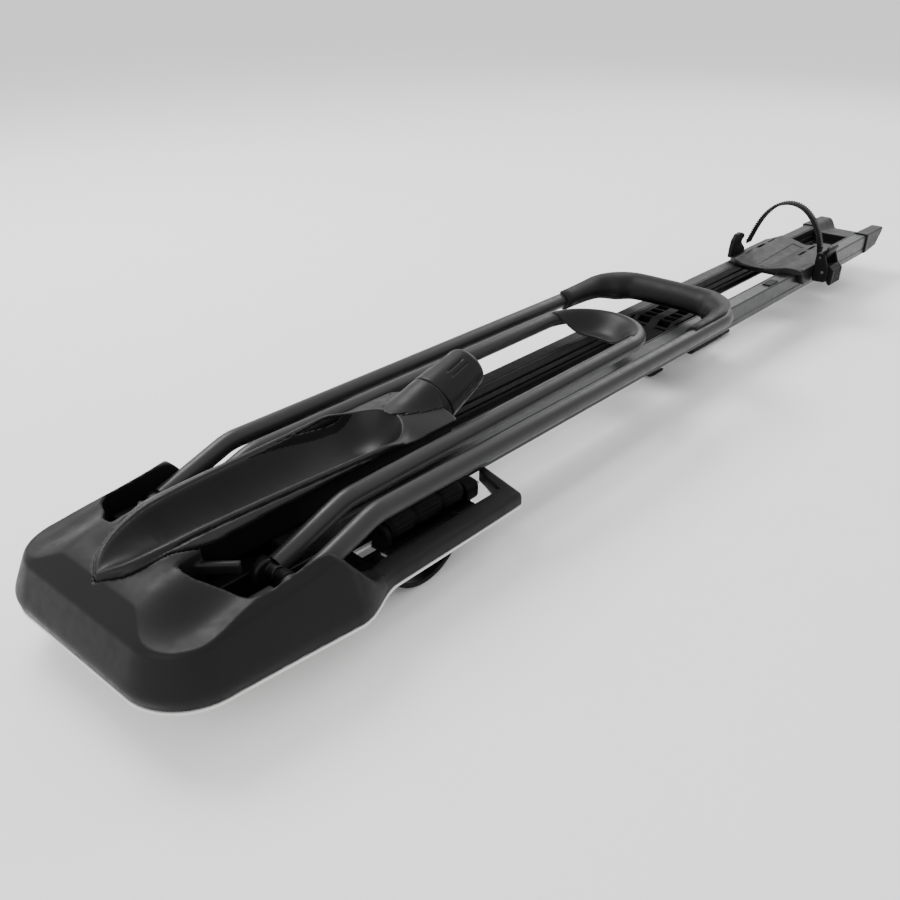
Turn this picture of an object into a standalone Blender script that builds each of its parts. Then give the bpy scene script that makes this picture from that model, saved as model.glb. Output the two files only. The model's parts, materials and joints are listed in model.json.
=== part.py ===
"""Roof carrier that holds a bicycle by its front wheel, modelled folded flat.

Metres, +Z up, +Y towards the rear of the car. The origin is on the middle of the front crossbar seat, on
the surface that rests on the crossbar. Everything is drawn from the nose of the head, then hung on a
datum empty that moves the nose to its place in front of the seat.
"""

import math

import bmesh
import bpy
from mathutils import Matrix, Vector

MM = 0.001
GAP = 0.3 * MM

# Driving dimensions, measured from the nose of the head and from the underside of its base pan.
SEAT_Y = 297 * MM
SEAT_Z = -4 * MM

HEAD_HALF = 132 * MM
HEAD_SHOULDER = 141 * MM
CORNER_RADIUS = 58 * MM
SHOULDER_Y = 185 * MM
ARM_HALF = 122 * MM
ARM_START_Y = 238 * MM
ARM_END_Y = 412 * MM
ARM_TAIL_Y = 429 * MM
ARM_HEIGHT = 17 * MM
PAN_THICKNESS = 2.5 * MM
CHIN_HEIGHT = 13 * MM
CHIN_UNDERCUT = 4 * MM
WALL_LEAN = 0.42
WALL_TOP = 80 * MM
SKIN = 3 * MM
BAY_INNER = 60 * MM
BAY_OUTER = 100 * MM
POCKET_STEP = 11.5 * MM
SKIRT_Z = 12 * MM
BAY_REAR_Y = 400 * MM

TROUGH_NOSE_Y = 30 * MM
TROUGH_END_Y = 354 * MM
TROUGH_BOTTOM = 44 * MM
TROUGH_FLOOR = 52 * MM
RIM_HEIGHT = 84 * MM
FLANGE_HEIGHT = 76 * MM
FLANGE_WIDTH = 4.5 * MM
FLANGE_HALF = 47 * MM
FLANGE_CREST = 78 * MM
DECK_CREST = 77 * MM
DECK_END_Y = 400 * MM

PIVOT_Y = 148 * MM
PIVOT_Z = 37 * MM
PIN_RADIUS = 4 * MM
HOOP_Z = 66 * MM
OUTER_END_Z = 66.5 * MM
INNER_END_Z = 70 * MM
HOOP_RADIUS = 9.5 * MM
TUBE_WALL = 1.6 * MM
KNUCKLE_RADIUS = 10.5 * MM
LEG_BEND_Y = 232 * MM
OUTER_HALF = 100 * MM
OUTER_CORNER_Y = 847 * MM
OUTER_CORNER_RADIUS = 50 * MM
INNER_HALF = 65 * MM
INNER_ARC_HALF = 61.7 * MM
INNER_ARC_Y = 693 * MM
SLEEVE_START_Y = 778 * MM
SLEEVE_WALL = 3 * MM
SLEEVE_CROWN = 9 * MM
SLEEVE_SWELL = 9 * MM
SADDLE_THICKNESS = 3 * MM
SADDLE_FRONT_LIP_Y = 712 * MM

KNOB_TILT = math.radians(20)
KNOB_SEAM = Vector((0, 413 * MM, 77.5 * MM))
KNOB_LENGTH = 62 * MM
KNOB_BASE_RADIUS = 27.5 * MM
KNOB_END_RADIUS = 23 * MM
BOSS_LENGTH = 52 * MM
SCREW_RADIUS = 4 * MM

RAIL_START_Y = 172 * MM
RAIL_END_Y = 1468 * MM
RAIL_INNER = 33 * MM
RAIL_OUTER = 56 * MM
RAIL_BOTTOM = 10 * MM
RAIL_TOP = 42 * MM
RAIL_WALL = 2.2 * MM
LIP_INNER = 26.5 * MM
LIP_HEIGHT = 3 * MM
GROOVE_Z = 30.5 * MM
CAP_END_Y = 1545 * MM

JAW_PIVOT_Y = 247 * MM
JAW_PIVOT_Z = 4.5 * MM
JAW_ARC_RADIUS = 54 * MM
JAW_ARC_Z = 14 * MM
JAW_INNER = 85 * MM
JAW_OUTER = 98.5 * MM
DIAL_X = 73 * MM
DIAL_Z = 19.5 * MM
DIAL_RADIUS = 11 * MM
DIAL_START_Y = 270 * MM
DIAL_END_Y = 370 * MM

CARRIAGE_FRONT_Y = 836 * MM
CARRIAGE_REAR_Y = 948 * MM
SADDLE_FRONT_Y = 880 * MM
SADDLE_REAR_Y = 966 * MM
HOOK_PIVOT_Y = 862 * MM
HOOK_PIVOT_Z = 2 * MM
LEVER_PIVOT_Y = 974 * MM
LEVER_PIVOT_Z = -12 * MM
HOOK_HALF = 7 * MM
LEVER_HALF = 8 * MM

SLOTS = ((-38, 1253), (-38, 1291), (30, 1257), (30, 1294))
CRADLE_FRONT_Y = 1160 * MM
CRADLE_REAR_Y = 1326 * MM
STRAP_Y = 1240 * MM
STRAP_WIDTH = 17 * MM
STRAP_THICKNESS = 3.2 * MM
BUCKLE_PIVOT_X = 81 * MM
BUCKLE_PIVOT_Z = 40 * MM
RELEASE_PIVOT_X = 74 * MM
RELEASE_PIVOT_Z = 62 * MM

PLASTIC = (0.022, 0.022, 0.024)
PAN_GREY = (0.45, 0.45, 0.46)
COATED = (0.075, 0.077, 0.082)
ANODISED = (0.20, 0.205, 0.215)
RUBBER = (0.018, 0.018, 0.019)
STEEL = (0.42, 0.42, 0.43)

# Every moving body turns or slides about the empty named here.
PIVOTS = {
    "carrier": (0, 0, 0),
    "outer_hoop_axis": (0, PIVOT_Y, PIVOT_Z),
    "inner_hoop_axis": (0, PIVOT_Y, PIVOT_Z),
    "knob_axis": tuple(KNOB_SEAM),
    "jaw_axis_l": (-JAW_INNER, JAW_PIVOT_Y, JAW_PIVOT_Z),
    "jaw_axis_r": (JAW_INNER, JAW_PIVOT_Y, JAW_PIVOT_Z),
    "dial_axis_l": (-DIAL_X, DIAL_START_Y, DIAL_Z),
    "dial_axis_r": (DIAL_X, DIAL_START_Y, DIAL_Z),
    "rear_clamp_slide": (0, SADDLE_FRONT_Y, 0),
    "hook_axis": (0, HOOK_PIVOT_Y, HOOK_PIVOT_Z),
    "lever_axis": (0, LEVER_PIVOT_Y, LEVER_PIVOT_Z),
    "cradle_slide": (0, CRADLE_FRONT_Y, RAIL_TOP),
    "buckle_axis": (BUCKLE_PIVOT_X, STRAP_Y, BUCKLE_PIVOT_Z),
    "release_axis": (RELEASE_PIVOT_X, STRAP_Y, RELEASE_PIVOT_Z),
}


# ---------------------------------------------------------------- scene, materials and placing

def clear_scene():
    for item in list(bpy.data.objects):
        bpy.data.objects.remove(item, do_unlink=True)


def make_collection(name):
    collection = bpy.data.collections.get(name) or bpy.data.collections.new(name)
    if name not in bpy.context.scene.collection.children:
        bpy.context.scene.collection.children.link(collection)
    return collection


def make_material(name, colour, roughness, metallic):
    material = bpy.data.materials.new(name)
    material.use_nodes = True
    shader = material.node_tree.nodes["Principled BSDF"]
    shader.inputs["Base Color"].default_value = (*colour, 1)
    shader.inputs["Roughness"].default_value = roughness
    shader.inputs["Metallic"].default_value = metallic
    return material


clear_scene()
PARTS = make_collection("wheel_hold_roof_carrier")
CUTTERS = make_collection("cutters")


def make_empties():
    datum = bpy.data.objects.new("nose_datum", None)
    datum.location = (0, -SEAT_Y, -SEAT_Z)
    PARTS.objects.link(datum)
    empties = {}
    for name, place in PIVOTS.items():
        empty = bpy.data.objects.new(name, None)
        empty.location = place
        empty.parent = datum
        PARTS.objects.link(empty)
        empties[name] = empty
    return empties


EMPTIES = make_empties()


def finish(part, pivot, colour, roughness=0.5, metallic=0.0):
    """Hangs a part on its body's empty and gives it its own material."""
    empty = EMPTIES[pivot]
    part.data.transform(Matrix.Translation(-empty.location))
    part.parent = empty
    part.data.materials.clear()
    part.data.materials.append(make_material(part.name + "_finish", colour, roughness, metallic))
    part.data.shade_smooth()
    part.data.set_sharp_from_angle(angle=math.radians(32))
    return part


# ---------------------------------------------------------------- basic shapes

def add_mesh(name, shape):
    bmesh.ops.recalc_face_normals(shape, faces=shape.faces)
    mesh = bpy.data.meshes.new(name)
    shape.to_mesh(mesh)
    shape.free()
    part = bpy.data.objects.new(name, mesh)
    PARTS.objects.link(part)
    return part


def block(name, low, high):
    shape = bmesh.new()
    bmesh.ops.create_cube(shape, size=1)
    size = [b - a for a, b in zip(low, high)]
    centre = [(a + b) / 2 for a, b in zip(low, high)]
    bmesh.ops.scale(shape, vec=size, verts=shape.verts)
    bmesh.ops.translate(shape, vec=centre, verts=shape.verts)
    return add_mesh(name, shape)


def rod(name, start, end, radius, sides=20):
    start = Vector(start)
    along = Vector(end) - start
    shape = bmesh.new()
    bmesh.ops.create_cone(
        shape, cap_ends=True, segments=sides, radius1=radius, radius2=radius, depth=along.length
    )
    turn = along.to_track_quat("Z", "Y").to_matrix().to_4x4()
    bmesh.ops.transform(
        shape, matrix=Matrix.Translation(start + along / 2) @ turn, verts=shape.verts
    )
    return add_mesh(name, shape)


def evaluated_mesh(item):
    bpy.context.view_layer.update()
    graph = bpy.context.evaluated_depsgraph_get()
    return bpy.data.meshes.new_from_object(item.evaluated_get(graph))


def weld(mesh, distance=0.00001):
    shape = bmesh.new()
    shape.from_mesh(mesh)
    bmesh.ops.remove_doubles(shape, verts=shape.verts, dist=distance)
    bmesh.ops.recalc_face_normals(shape, faces=shape.faces)
    shape.to_mesh(mesh)
    shape.free()


def curve_to_mesh(name, curve):
    item = bpy.data.objects.new(name + "_guide", curve)
    PARTS.objects.link(item)
    mesh = evaluated_mesh(item)
    mesh.name = name
    weld(mesh)
    part = bpy.data.objects.new(name, mesh)
    part.matrix_world = item.matrix_world
    PARTS.objects.link(part)
    bpy.data.objects.remove(item, do_unlink=True)
    return part


PLANES = {
    "X": Matrix(((0, 0, 1, 0), (1, 0, 0, 0), (0, 1, 0, 0), (0, 0, 0, 1))),
    "Y": Matrix(((1, 0, 0, 0), (0, 0, -1, 0), (0, 1, 0, 0), (0, 0, 0, 1))),
    "Z": Matrix.Identity(4),
}


def plate(name, outline, low, high, normal="Z"):
    """A flat outline with a thickness from low to high along its normal.

    The outline holds (y, z) points for normal X, (x, z) for Y and (x, y) for Z.
    """
    curve = bpy.data.curves.new(name, "CURVE")
    curve.dimensions = "2D"
    curve.fill_mode = "BOTH"
    curve.extrude = (high - low) / 2
    spline = curve.splines.new("POLY")
    spline.points.add(len(outline) - 1)
    for point, (u, v) in zip(spline.points, outline):
        point.co = (u, v, 0, 1)
    spline.use_cyclic_u = True
    part = curve_to_mesh(name, curve)
    middle = (low + high) / 2
    shift = {"X": (middle, 0, 0), "Y": (0, middle, 0), "Z": (0, 0, middle)}[normal]
    part.data.transform(Matrix.Translation(shift) @ PLANES[normal])
    return part


def tube(name, path, radius, resolution=2):
    curve = bpy.data.curves.new(name, "CURVE")
    curve.dimensions = "3D"
    curve.bevel_depth = radius
    curve.bevel_resolution = resolution
    curve.use_fill_caps = True
    spline = curve.splines.new("POLY")
    spline.points.add(len(path) - 1)
    for point, place in zip(spline.points, path):
        point.co = (*place, 1)
    return curve_to_mesh(name, curve)


def turned(name, profile, start, direction, steps=28):
    """A profile of (radius, height) points, top to bottom, turned about an axis through start."""
    shape = bmesh.new()
    verts = [shape.verts.new((radius, 0, height)) for radius, height in profile]
    for first, second in zip(verts, verts[1:]):
        shape.edges.new((first, second))
    mesh = bpy.data.meshes.new(name)
    shape.to_mesh(mesh)
    shape.free()
    part = bpy.data.objects.new(name, mesh)
    PARTS.objects.link(part)
    screw = part.modifiers.new("turn", "SCREW")
    screw.steps = steps
    screw.render_steps = steps
    screw.use_merge_vertices = True
    screw.merge_threshold = 0.00001
    apply_modifiers(part)
    weld(part.data)
    turn = Vector(direction).to_track_quat("Z", "Y").to_matrix().to_4x4()
    part.data.transform(Matrix.Translation(Vector(start)) @ turn)
    return part


def loft(name, rings):
    """Closed skin through rings of equal length, capped at both ends."""
    shape = bmesh.new()
    rows = [[shape.verts.new(place) for place in ring] for ring in rings]
    count = len(rings[0])
    for lower, upper in zip(rows, rows[1:]):
        for index in range(count):
            following = (index + 1) % count
            shape.faces.new((lower[index], lower[following], upper[following], upper[index]))
    shape.faces.new(list(reversed(rows[0])))
    shape.faces.new(rows[-1])
    return add_mesh(name, shape)


def apply_modifiers(part):
    mesh = evaluated_mesh(part)
    part.modifiers.clear()
    part.data = mesh


def combine(part, other, operation):
    modifier = part.modifiers.new(operation.lower(), "BOOLEAN")
    modifier.operation = operation
    modifier.solver = "EXACT"
    modifier.object = other
    apply_modifiers(part)
    weld(part.data)


def cut(part, *cutters):
    """Cuts each cutter from the part and keeps the cutter, hidden, in its own collection."""
    for cutter in cutters:
        combine(part, cutter, "DIFFERENCE")
        store_cutter(cutter)
    return part


def store_cutter(cutter):
    if cutter.name in PARTS.objects:
        PARTS.objects.unlink(cutter)
        CUTTERS.objects.link(cutter)
    cutter.hide_render = True
    cutter.display_type = "WIRE"


def fuse(part, *others):
    for other in others:
        combine(part, other, "UNION")
        bpy.data.objects.remove(other, do_unlink=True)
    return part


def mirrored(part, name):
    mesh = part.data.copy()
    mesh.transform(Matrix.Scale(-1, 4, (1, 0, 0)))
    mesh.flip_normals()
    twin = bpy.data.objects.new(name, mesh)
    PARTS.objects.link(twin)
    return twin


# ---------------------------------------------------------------- outlines and rules of shape

def lerp(a, b, t):
    return a + (b - a) * t


def ramp(value, table):
    """Straight-line interpolation through (place, value) pairs."""
    if value <= table[0][0]:
        return table[0][1]
    for (x0, y0), (x1, y1) in zip(table, table[1:]):
        if value <= x1:
            return lerp(y0, y1, (value - x0) / (x1 - x0))
    return table[-1][1]


def fillet(path, radius, steps=6, closed=False):
    """Replaces the corners of a path of points by arcs of one radius."""
    points = [Vector(p) for p in path]
    last = len(points) - 1
    out = []
    for index, corner in enumerate(points):
        if not closed and index in (0, last):
            out.append(tuple(corner))
            continue
        before = (points[index - 1] - corner).normalized()
        after = (points[(index + 1) % len(points)] - corner).normalized()
        half = before.angle(after) / 2
        reach = radius / math.tan(half)
        centre = corner + (before + after).normalized() * radius / math.sin(half)
        first = corner + before * reach - centre
        final = corner + after * reach - centre
        for step in range(steps + 1):
            out.append(tuple(centre + first.slerp(final, step / steps).normalized() * radius))
    return out


def head_half_outline(inset=0.0):
    """Right half of the head's plan, from the nose to the tail of the arm, as (x, y) points."""
    points = [(0.0, 0.0)]
    steps = 7
    for step in range(steps + 1):
        angle = math.pi / 2 * step / steps
        x = HEAD_HALF - CORNER_RADIUS * (1 - math.sin(angle))
        y = CORNER_RADIUS * (1 - math.cos(angle))
        points.append((x, y))
    points.append(((HEAD_HALF + HEAD_SHOULDER) / 2, (CORNER_RADIUS + SHOULDER_Y) / 2))
    for step in range(7):
        t = step / 6
        swing = (1 - math.cos(math.pi * t)) / 2
        points.append((lerp(HEAD_SHOULDER, ARM_HALF, swing), lerp(SHOULDER_Y - 8 * MM, ARM_START_Y, t)))
    points.append((ARM_HALF - 1 * MM, ARM_END_Y))
    points.append((BAY_INNER + 1 * MM, ARM_TAIL_Y))
    return inset_path(points, inset)


def inset_path(points, inset):
    """Moves an open run of (x, y) points inwards, keeping its first point on the centre line."""
    if inset == 0:
        return points
    moved = []
    for index, (x, y) in enumerate(points):
        x0, y0 = points[max(index - 1, 0)]
        x1, y1 = points[min(index + 1, len(points) - 1)]
        run = Vector((x1 - x0, y1 - y0)).normalized()
        if index == 0:
            run = Vector((1, 0))
        moved.append((x - run.y * inset, y + run.x * inset))
    return moved


def both_sides(half):
    """Closes a half plan, which starts on the centre line, into the full plan."""
    left = [(-x, y) for x, y in reversed(half[1:])]
    return half + left


def wall_ring(height, inset=0.0):
    """The head's full plan at one height: undercut chin, then walls that lean in."""
    lean = max(0.0, height - CHIN_HEIGHT) * WALL_LEAN
    under = max(0.0, CHIN_HEIGHT - height) / CHIN_HEIGHT * CHIN_UNDERCUT
    base = head_half_outline()
    leaning = inset_path(base, 1.0)
    ring = []
    for (x, y), (inner_x, inner_y) in zip(base, leaning):
        fade = ramp(y, [(60 * MM, 1.0), (190 * MM, 0.0)])
        rear = ramp(y, [(185 * MM, 1.0), (225 * MM, 0.12)])
        amount = inset + under * fade + lean * rear
        ring.append((x + (inner_x - x) * amount, y + (inner_y - y) * amount))
    return [(x, y, height) for x, y in both_sides(ring)]


def crest_height(y):
    return ramp(
        y,
        [
            (0, 46 * MM),
            (40 * MM, 46 * MM),
            (80 * MM, 50 * MM),
            (145 * MM, 56 * MM),
            (168 * MM, 61 * MM),
            (174 * MM, 59 * MM),
            (188 * MM, 42 * MM),
            (204 * MM, 21 * MM),
            (214 * MM, ARM_HEIGHT),
        ],
    )


def deck_height(x, y):
    """Height of the head's top skin: a deck that climbs to the trough, and a raised side crest."""
    climb = 1 - math.exp(-max(0.0, y - 8 * MM) / (42 * MM))
    middle = lerp(46 * MM, DECK_CREST, climb)
    middle = lerp(middle, ARM_HEIGHT, ramp(y, [(200 * MM, 0.0), (260 * MM, 1.0)]))
    side = ramp(abs(x), [(48 * MM, 0.0), (104 * MM, 1.0)])
    blend = side * side * (3 - 2 * side)
    return lerp(middle, crest_height(y), blend)


def trough_half_width(y):
    """Half width between the rims of the wheel trough."""
    if y > TROUGH_END_Y - 44 * MM:
        reach = y - (TROUGH_END_Y - 44 * MM)
        return math.sqrt(max(0.0, (44 * MM) ** 2 - reach * reach))
    return ramp(
        y,
        [
            (TROUGH_NOSE_Y, 1.5 * MM),
            (36 * MM, 8 * MM),
            (46 * MM, 15 * MM),
            (60 * MM, 21.5 * MM),
            (80 * MM, 27.5 * MM),
            (100 * MM, 31 * MM),
            (140 * MM, 34 * MM),
            (200 * MM, 37 * MM),
            (310 * MM, 44 * MM),
        ],
    )


def trough_body_half_width(y):
    if y > DECK_END_Y - 8 * MM:
        return FLANGE_HALF - (y - (DECK_END_Y - 8 * MM)) * 0.6
    flare = ramp(y, [(80 * MM, 0.0), (115 * MM, 1.0)])
    return lerp(min(FLANGE_HALF, trough_half_width(min(y, 300 * MM)) + FLANGE_WIDTH), FLANGE_HALF, flare)


def rim_height(y):
    front = ramp(y, [(TROUGH_NOSE_Y, 63 * MM), (46 * MM, 71 * MM), (80 * MM, 80 * MM), (130 * MM, RIM_HEIGHT)])
    return lerp(front, FLANGE_HEIGHT, ramp(y, [(TROUGH_END_Y - 16 * MM, 0.0), (TROUGH_END_Y + 4 * MM, 1.0)]))


def trough_section(y, samples=9):
    """Closed (x, y, z) section of the trough body: flanges, rims and the concave wheel channel."""
    width = trough_half_width(y)
    body = max(trough_body_half_width(y), width + 1.2 * MM)
    rim = rim_height(y)
    flange = min(FLANGE_CREST, rim - 3 * MM)
    entry = ramp(y, [(TROUGH_NOSE_Y, 0.25), (100 * MM, 0.85), (160 * MM, 1.0)])
    depth = (rim - TROUGH_FLOOR) * entry * min(1.0, width / (30 * MM))
    bottom = ramp(y, [(TROUGH_NOSE_Y, 55 * MM), (60 * MM, TROUGH_BOTTOM)])
    right = [(body, bottom), (body, flange), (width + 1 * MM, flange + 0.5 * MM), (width, rim)]
    channel = []
    for step in range(1, samples):
        t = 1 - 2 * step / samples
        channel.append((width * t, rim - depth * (1 - abs(t) ** 2.4)))
    left = [(-x, z) for x, z in reversed(right)]
    return [(x, y, z) for x, z in right + channel + left]


# ---------------------------------------------------------------- head

def above_deck(name, drop):
    """Solid that fills everything over the head's top skin, lowered by drop."""
    shape = bmesh.new()
    bmesh.ops.create_grid(shape, x_segments=24, y_segments=32, size=0.5)
    for vert in shape.verts:
        x = vert.co.x * 300 * MM
        y = lerp(-10 * MM, 450 * MM, vert.co.y + 0.5)
        vert.co = (x, y, deck_height(x, y) - drop)
    raised = bmesh.ops.extrude_face_region(shape, geom=list(shape.faces))
    for item in raised["geom"]:
        if isinstance(item, bmesh.types.BMVert):
            item.co.z = 150 * MM
    return add_mesh(name, shape)


def pocket_outline(grow=0.0):
    """Right-hand opening for the hoop legs, running back into the open bay beside the rails."""
    inner = BAY_INNER - 14 * MM - grow
    outer = BAY_OUTER + POCKET_STEP + grow
    return [
        (inner, 80 * MM - grow),
        (74 * MM, 83 * MM - grow),
        (96 * MM, 92 * MM - grow),
        (106 * MM + grow, 108 * MM),
        (outer, 130 * MM),
        (outer, 186 * MM),
        (BAY_OUTER + 6 * MM + grow, 214 * MM),
        (BAY_OUTER + grow, 236 * MM),
        (BAY_OUTER + grow, BAY_REAR_Y + grow * 0.5),
        (BAY_INNER, BAY_REAR_Y + 18 * MM),
        (inner, BAY_REAR_Y + 40 * MM),
    ]


def make_head_cover():
    cover = loft("head_cover", [wall_ring(z) for z in (PAN_THICKNESS + GAP, CHIN_HEIGHT, WALL_TOP)])
    cut(cover, above_deck("over_deck", 0.0))
    void = loft("cover_void", [wall_ring(z, SKIN) for z in (-1 * MM, CHIN_HEIGHT, WALL_TOP)])
    cut(void, above_deck("over_void", SKIN))
    for side in (1, -1):
        guard = [(side * x, y) for x, y in pocket_outline(SKIN)]
        cut(void, plate(f"pocket_guard_{side}", guard, SKIRT_Z, 160 * MM))
    bay_guard = BAY_OUTER + SKIN + GAP
    cut(void, block("bay_guard", (-bay_guard, 232 * MM, -6 * MM), (bay_guard, 465 * MM, 165 * MM)))
    cut(void, block("tail_guard", (-HEAD_HALF, BAY_REAR_Y - SKIN, -5 * MM), (HEAD_HALF, 460 * MM, 160 * MM)))
    channel_guard = (BAY_INNER - 2 * MM) + SKIN
    cut(void, block("channel_guard", (-channel_guard, 152 * MM, SKIRT_Z), (channel_guard, 460 * MM, 160 * MM)))
    cut(cover, void)
    for side in (1, -1):
        opening = [(side * x, y) for x, y in pocket_outline()]
        cut(cover, plate(f"pocket_cut_{side}", opening, -6 * MM, 170 * MM))
    channel = BAY_INNER - 2 * MM
    cut(cover, block("channel_cut", (-channel, 155 * MM, -6 * MM), (channel, 470 * MM, 170 * MM)))
    cut(cover, make_trough_slot())
    return finish(cover, "carrier", PLASTIC, 0.42)


def make_trough_slot():
    """Clearance round the trough body where it comes up through the deck."""
    half = []
    for y in (27, 36, 46, 60, 80, 100, 115, 140, 200, 300, 402):
        place = y * MM
        half.append((trough_body_half_width(max(place, TROUGH_NOSE_Y)) + 0.8 * MM, place))
    outline = half + [(-x, y) for x, y in reversed(half)]
    return plate("trough_slot", outline, 30 * MM, 120 * MM)


def make_base_pan():
    ring = [(x, y) for x, y, z in wall_ring(0, 0.6 * MM)]
    pan = plate("base_pan", ring, 0, PAN_THICKNESS)
    for side in (1, -1):
        window = [
            (side * x, y)
            for x, y in (
                (BAY_INNER + 0.5 * MM, 240 * MM),
                (BAY_OUTER, 240 * MM),
                (BAY_OUTER, BAY_REAR_Y),
                (BAY_INNER + 0.5 * MM, BAY_REAR_Y + 22 * MM),
            )
        ]
        cut(pan, plate(f"pan_window_{side}", window, -5 * MM, 10 * MM))
    tail = BAY_INNER + 0.5 * MM
    cut(pan, block("pan_tail_cut", (-tail, 418 * MM, -5 * MM), (tail, 470 * MM, 10 * MM)))
    return finish(pan, "carrier", PAN_GREY, 0.5)


def make_chassis_tray():
    """Structural floor of the head, with ears for the front jaw pins."""
    half = [
        (0, 12 * MM),
        (84 * MM, 14 * MM),
        (112 * MM, 34 * MM),
        (122 * MM, 70 * MM),
        (126 * MM, 150 * MM),
        (118 * MM, 196 * MM),
        (98 * MM, 214 * MM),
        (98 * MM, 236 * MM),
        (BAY_INNER - 3 * MM, 238 * MM),
        (BAY_INNER - 3 * MM, 412 * MM),
    ]
    floor_low = PAN_THICKNESS + GAP
    tray = plate("chassis_tray", both_sides(half), floor_low, 8.5 * MM)
    for side in (1, -1):
        near, far = sorted((side * 79 * MM, side * 84.5 * MM))
        fuse(tray, block("ear", (near, 228 * MM, floor_low), (far, 253 * MM, 10 * MM)))
        pin = rod("jaw_pin_bore", (side * 70 * MM, JAW_PIVOT_Y, JAW_PIVOT_Z),
                  (side * 99 * MM, JAW_PIVOT_Y, JAW_PIVOT_Z), 1.8 * MM, 12)
        cut(tray, pin)
    keep = wall_void_clearance("tray_trim")
    combine(tray, keep, "INTERSECT")
    store_cutter(keep)
    return finish(tray, "carrier", PLASTIC, 0.55)


def wall_void_clearance(name):
    """The space inside the cover's walls, a little smaller than the walls leave."""
    return loft(name, [wall_ring(z, SKIN + 1 * MM) for z in (0, 30 * MM)])


def make_wheel_trough():
    stations = [30, 36, 46, 60, 80, 100, 115, 140, 200, 260, 310, 326, 338, 346, 351, 354, 359, 392, 400]
    trough = loft("wheel_trough", [trough_section(y * MM) for y in stations])
    room = rod("screw_room", knob_point(4 * MM), knob_point(-BOSS_LENGTH - 4 * MM), SCREW_RADIUS + 9 * MM, 20)
    cut(trough, room)
    return finish(trough, "carrier", PLASTIC, 0.38)


def knob_point(distance, offset=0.0):
    """A point at a distance past the knob's seam, along its tilted axis, raised square to it."""
    along = Vector((0, math.cos(KNOB_TILT), math.sin(KNOB_TILT)))
    across = Vector((0, -math.sin(KNOB_TILT), math.cos(KNOB_TILT)))
    return KNOB_SEAM + along * distance + across * offset


def make_knob_boss():
    """Hollow boss that carries the tension knob, cut off square with the deck that it stands on."""
    axis = knob_point(1) - knob_point(0)
    radius = KNOB_BASE_RADIUS
    bore = SCREW_RADIUS + 8 * MM
    profile = [
        (SCREW_RADIUS + GAP, -GAP),
        (radius - 0.6 * MM, -GAP),
        (radius + 0.6 * MM, -BOSS_LENGTH - 30 * MM),
        (bore, -BOSS_LENGTH - 30 * MM),
        (bore, -8 * MM),
        (SCREW_RADIUS + GAP, -8 * MM),
        (SCREW_RADIUS + GAP, -GAP),
    ]
    boss = turned("knob_boss", profile, KNOB_SEAM, axis)
    deck = FLANGE_HEIGHT + GAP
    cut(
        boss,
        block("boss_deck_cut", (-60 * MM, 250 * MM, -20 * MM), (60 * MM, DECK_END_Y + GAP, deck)),
        block("boss_front_cut", (-60 * MM, 250 * MM, 20 * MM), (60 * MM, TROUGH_END_Y + 5 * MM, 140 * MM)),
        block("boss_rear_cut", (-60 * MM, DECK_END_Y - 5 * MM, -20 * MM), (60 * MM, 470 * MM, 46 * MM)),
    )
    return finish(boss, "carrier", PLASTIC, 0.38)


def make_front_pad():
    outline = fillet([(-52 * MM, 266 * MM, 0), (52 * MM, 266 * MM, 0), (52 * MM, 328 * MM, 0),
                      (-52 * MM, 328 * MM, 0)], 5 * MM, 3, closed=True)
    pad = plate("front_crossbar_pad", [(x, y) for x, y, z in outline], SEAT_Z, -GAP)
    return finish(pad, "carrier", RUBBER, 0.8)


# ---------------------------------------------------------------- hoop pivots

def make_pivot_bracket():
    """Floor bracket with two ears that carry one side's hoop pivot pin."""
    base = block("pivot_bracket_r", (49 * MM, 128 * MM, 8.8 * MM), (110 * MM, 168 * MM, 13 * MM))
    ear = fillet([(128 * MM, 12 * MM, 0), (168 * MM, 12 * MM, 0), (PIVOT_Y + 9.5 * MM, PIVOT_Z + 9.5 * MM, 0),
                  (PIVOT_Y - 9.5 * MM, PIVOT_Z + 9.5 * MM, 0)], 5 * MM, 4, closed=True)
    outline = [(y, z) for y, z, x in ear]
    for low, high in ((49.2, 53.2), (77.5, 88)):
        fuse(base, plate("ear", outline, low * MM, high * MM, "X"))
    cut(base, rod("bracket_bore", (40 * MM, PIVOT_Y, PIVOT_Z), (125 * MM, PIVOT_Y, PIVOT_Z),
                  PIN_RADIUS + GAP, 16))
    return base


def make_pivots():
    bracket = make_pivot_bracket()
    pin = rod("hoop_pivot_pin_r", (48.6 * MM, PIVOT_Y, PIVOT_Z), (110.4 * MM, PIVOT_Y, PIVOT_Z),
              PIN_RADIUS, 16)
    for part, twin_name, colour, metallic in (
        (bracket, "pivot_bracket_l", PLASTIC, 0.0),
        (pin, "hoop_pivot_pin_l", STEEL, 1.0),
    ):
        twin = mirrored(part, twin_name)
        finish(part, "carrier", colour, 0.45, metallic)
        finish(twin, "carrier", colour, 0.45, metallic)


# ---------------------------------------------------------------- hoops

def leg_rise(y):
    """Height of a hoop leg's centre line."""
    return ramp(y, [(PIVOT_Y, PIVOT_Z), (LEG_BEND_Y, HOOP_Z)])


def leg_path(half_width, end_half, end_y, end_z):
    """Right leg of a hoop, from its open end at the knuckle, round its bend and straight to end_y."""
    start = PIVOT_Y + 13 * MM
    return fillet(
        [
            (half_width, start, leg_rise(start)),
            (half_width, LEG_BEND_Y, HOOP_Z),
            (end_half, end_y, end_z),
        ],
        60 * MM,
        4,
    )


def outer_turn():
    """Right half of the outer hoop's far end, from the straight leg to the middle."""
    corner = OUTER_CORNER_Y + OUTER_CORNER_RADIUS
    turn = []
    for step in range(9):
        angle = math.pi / 2 * step / 8
        x = OUTER_HALF - OUTER_CORNER_RADIUS * (1 - math.cos(angle))
        turn.append((x, corner - OUTER_CORNER_RADIUS * (1 - math.sin(angle)), OUTER_END_Z))
    return turn


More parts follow.
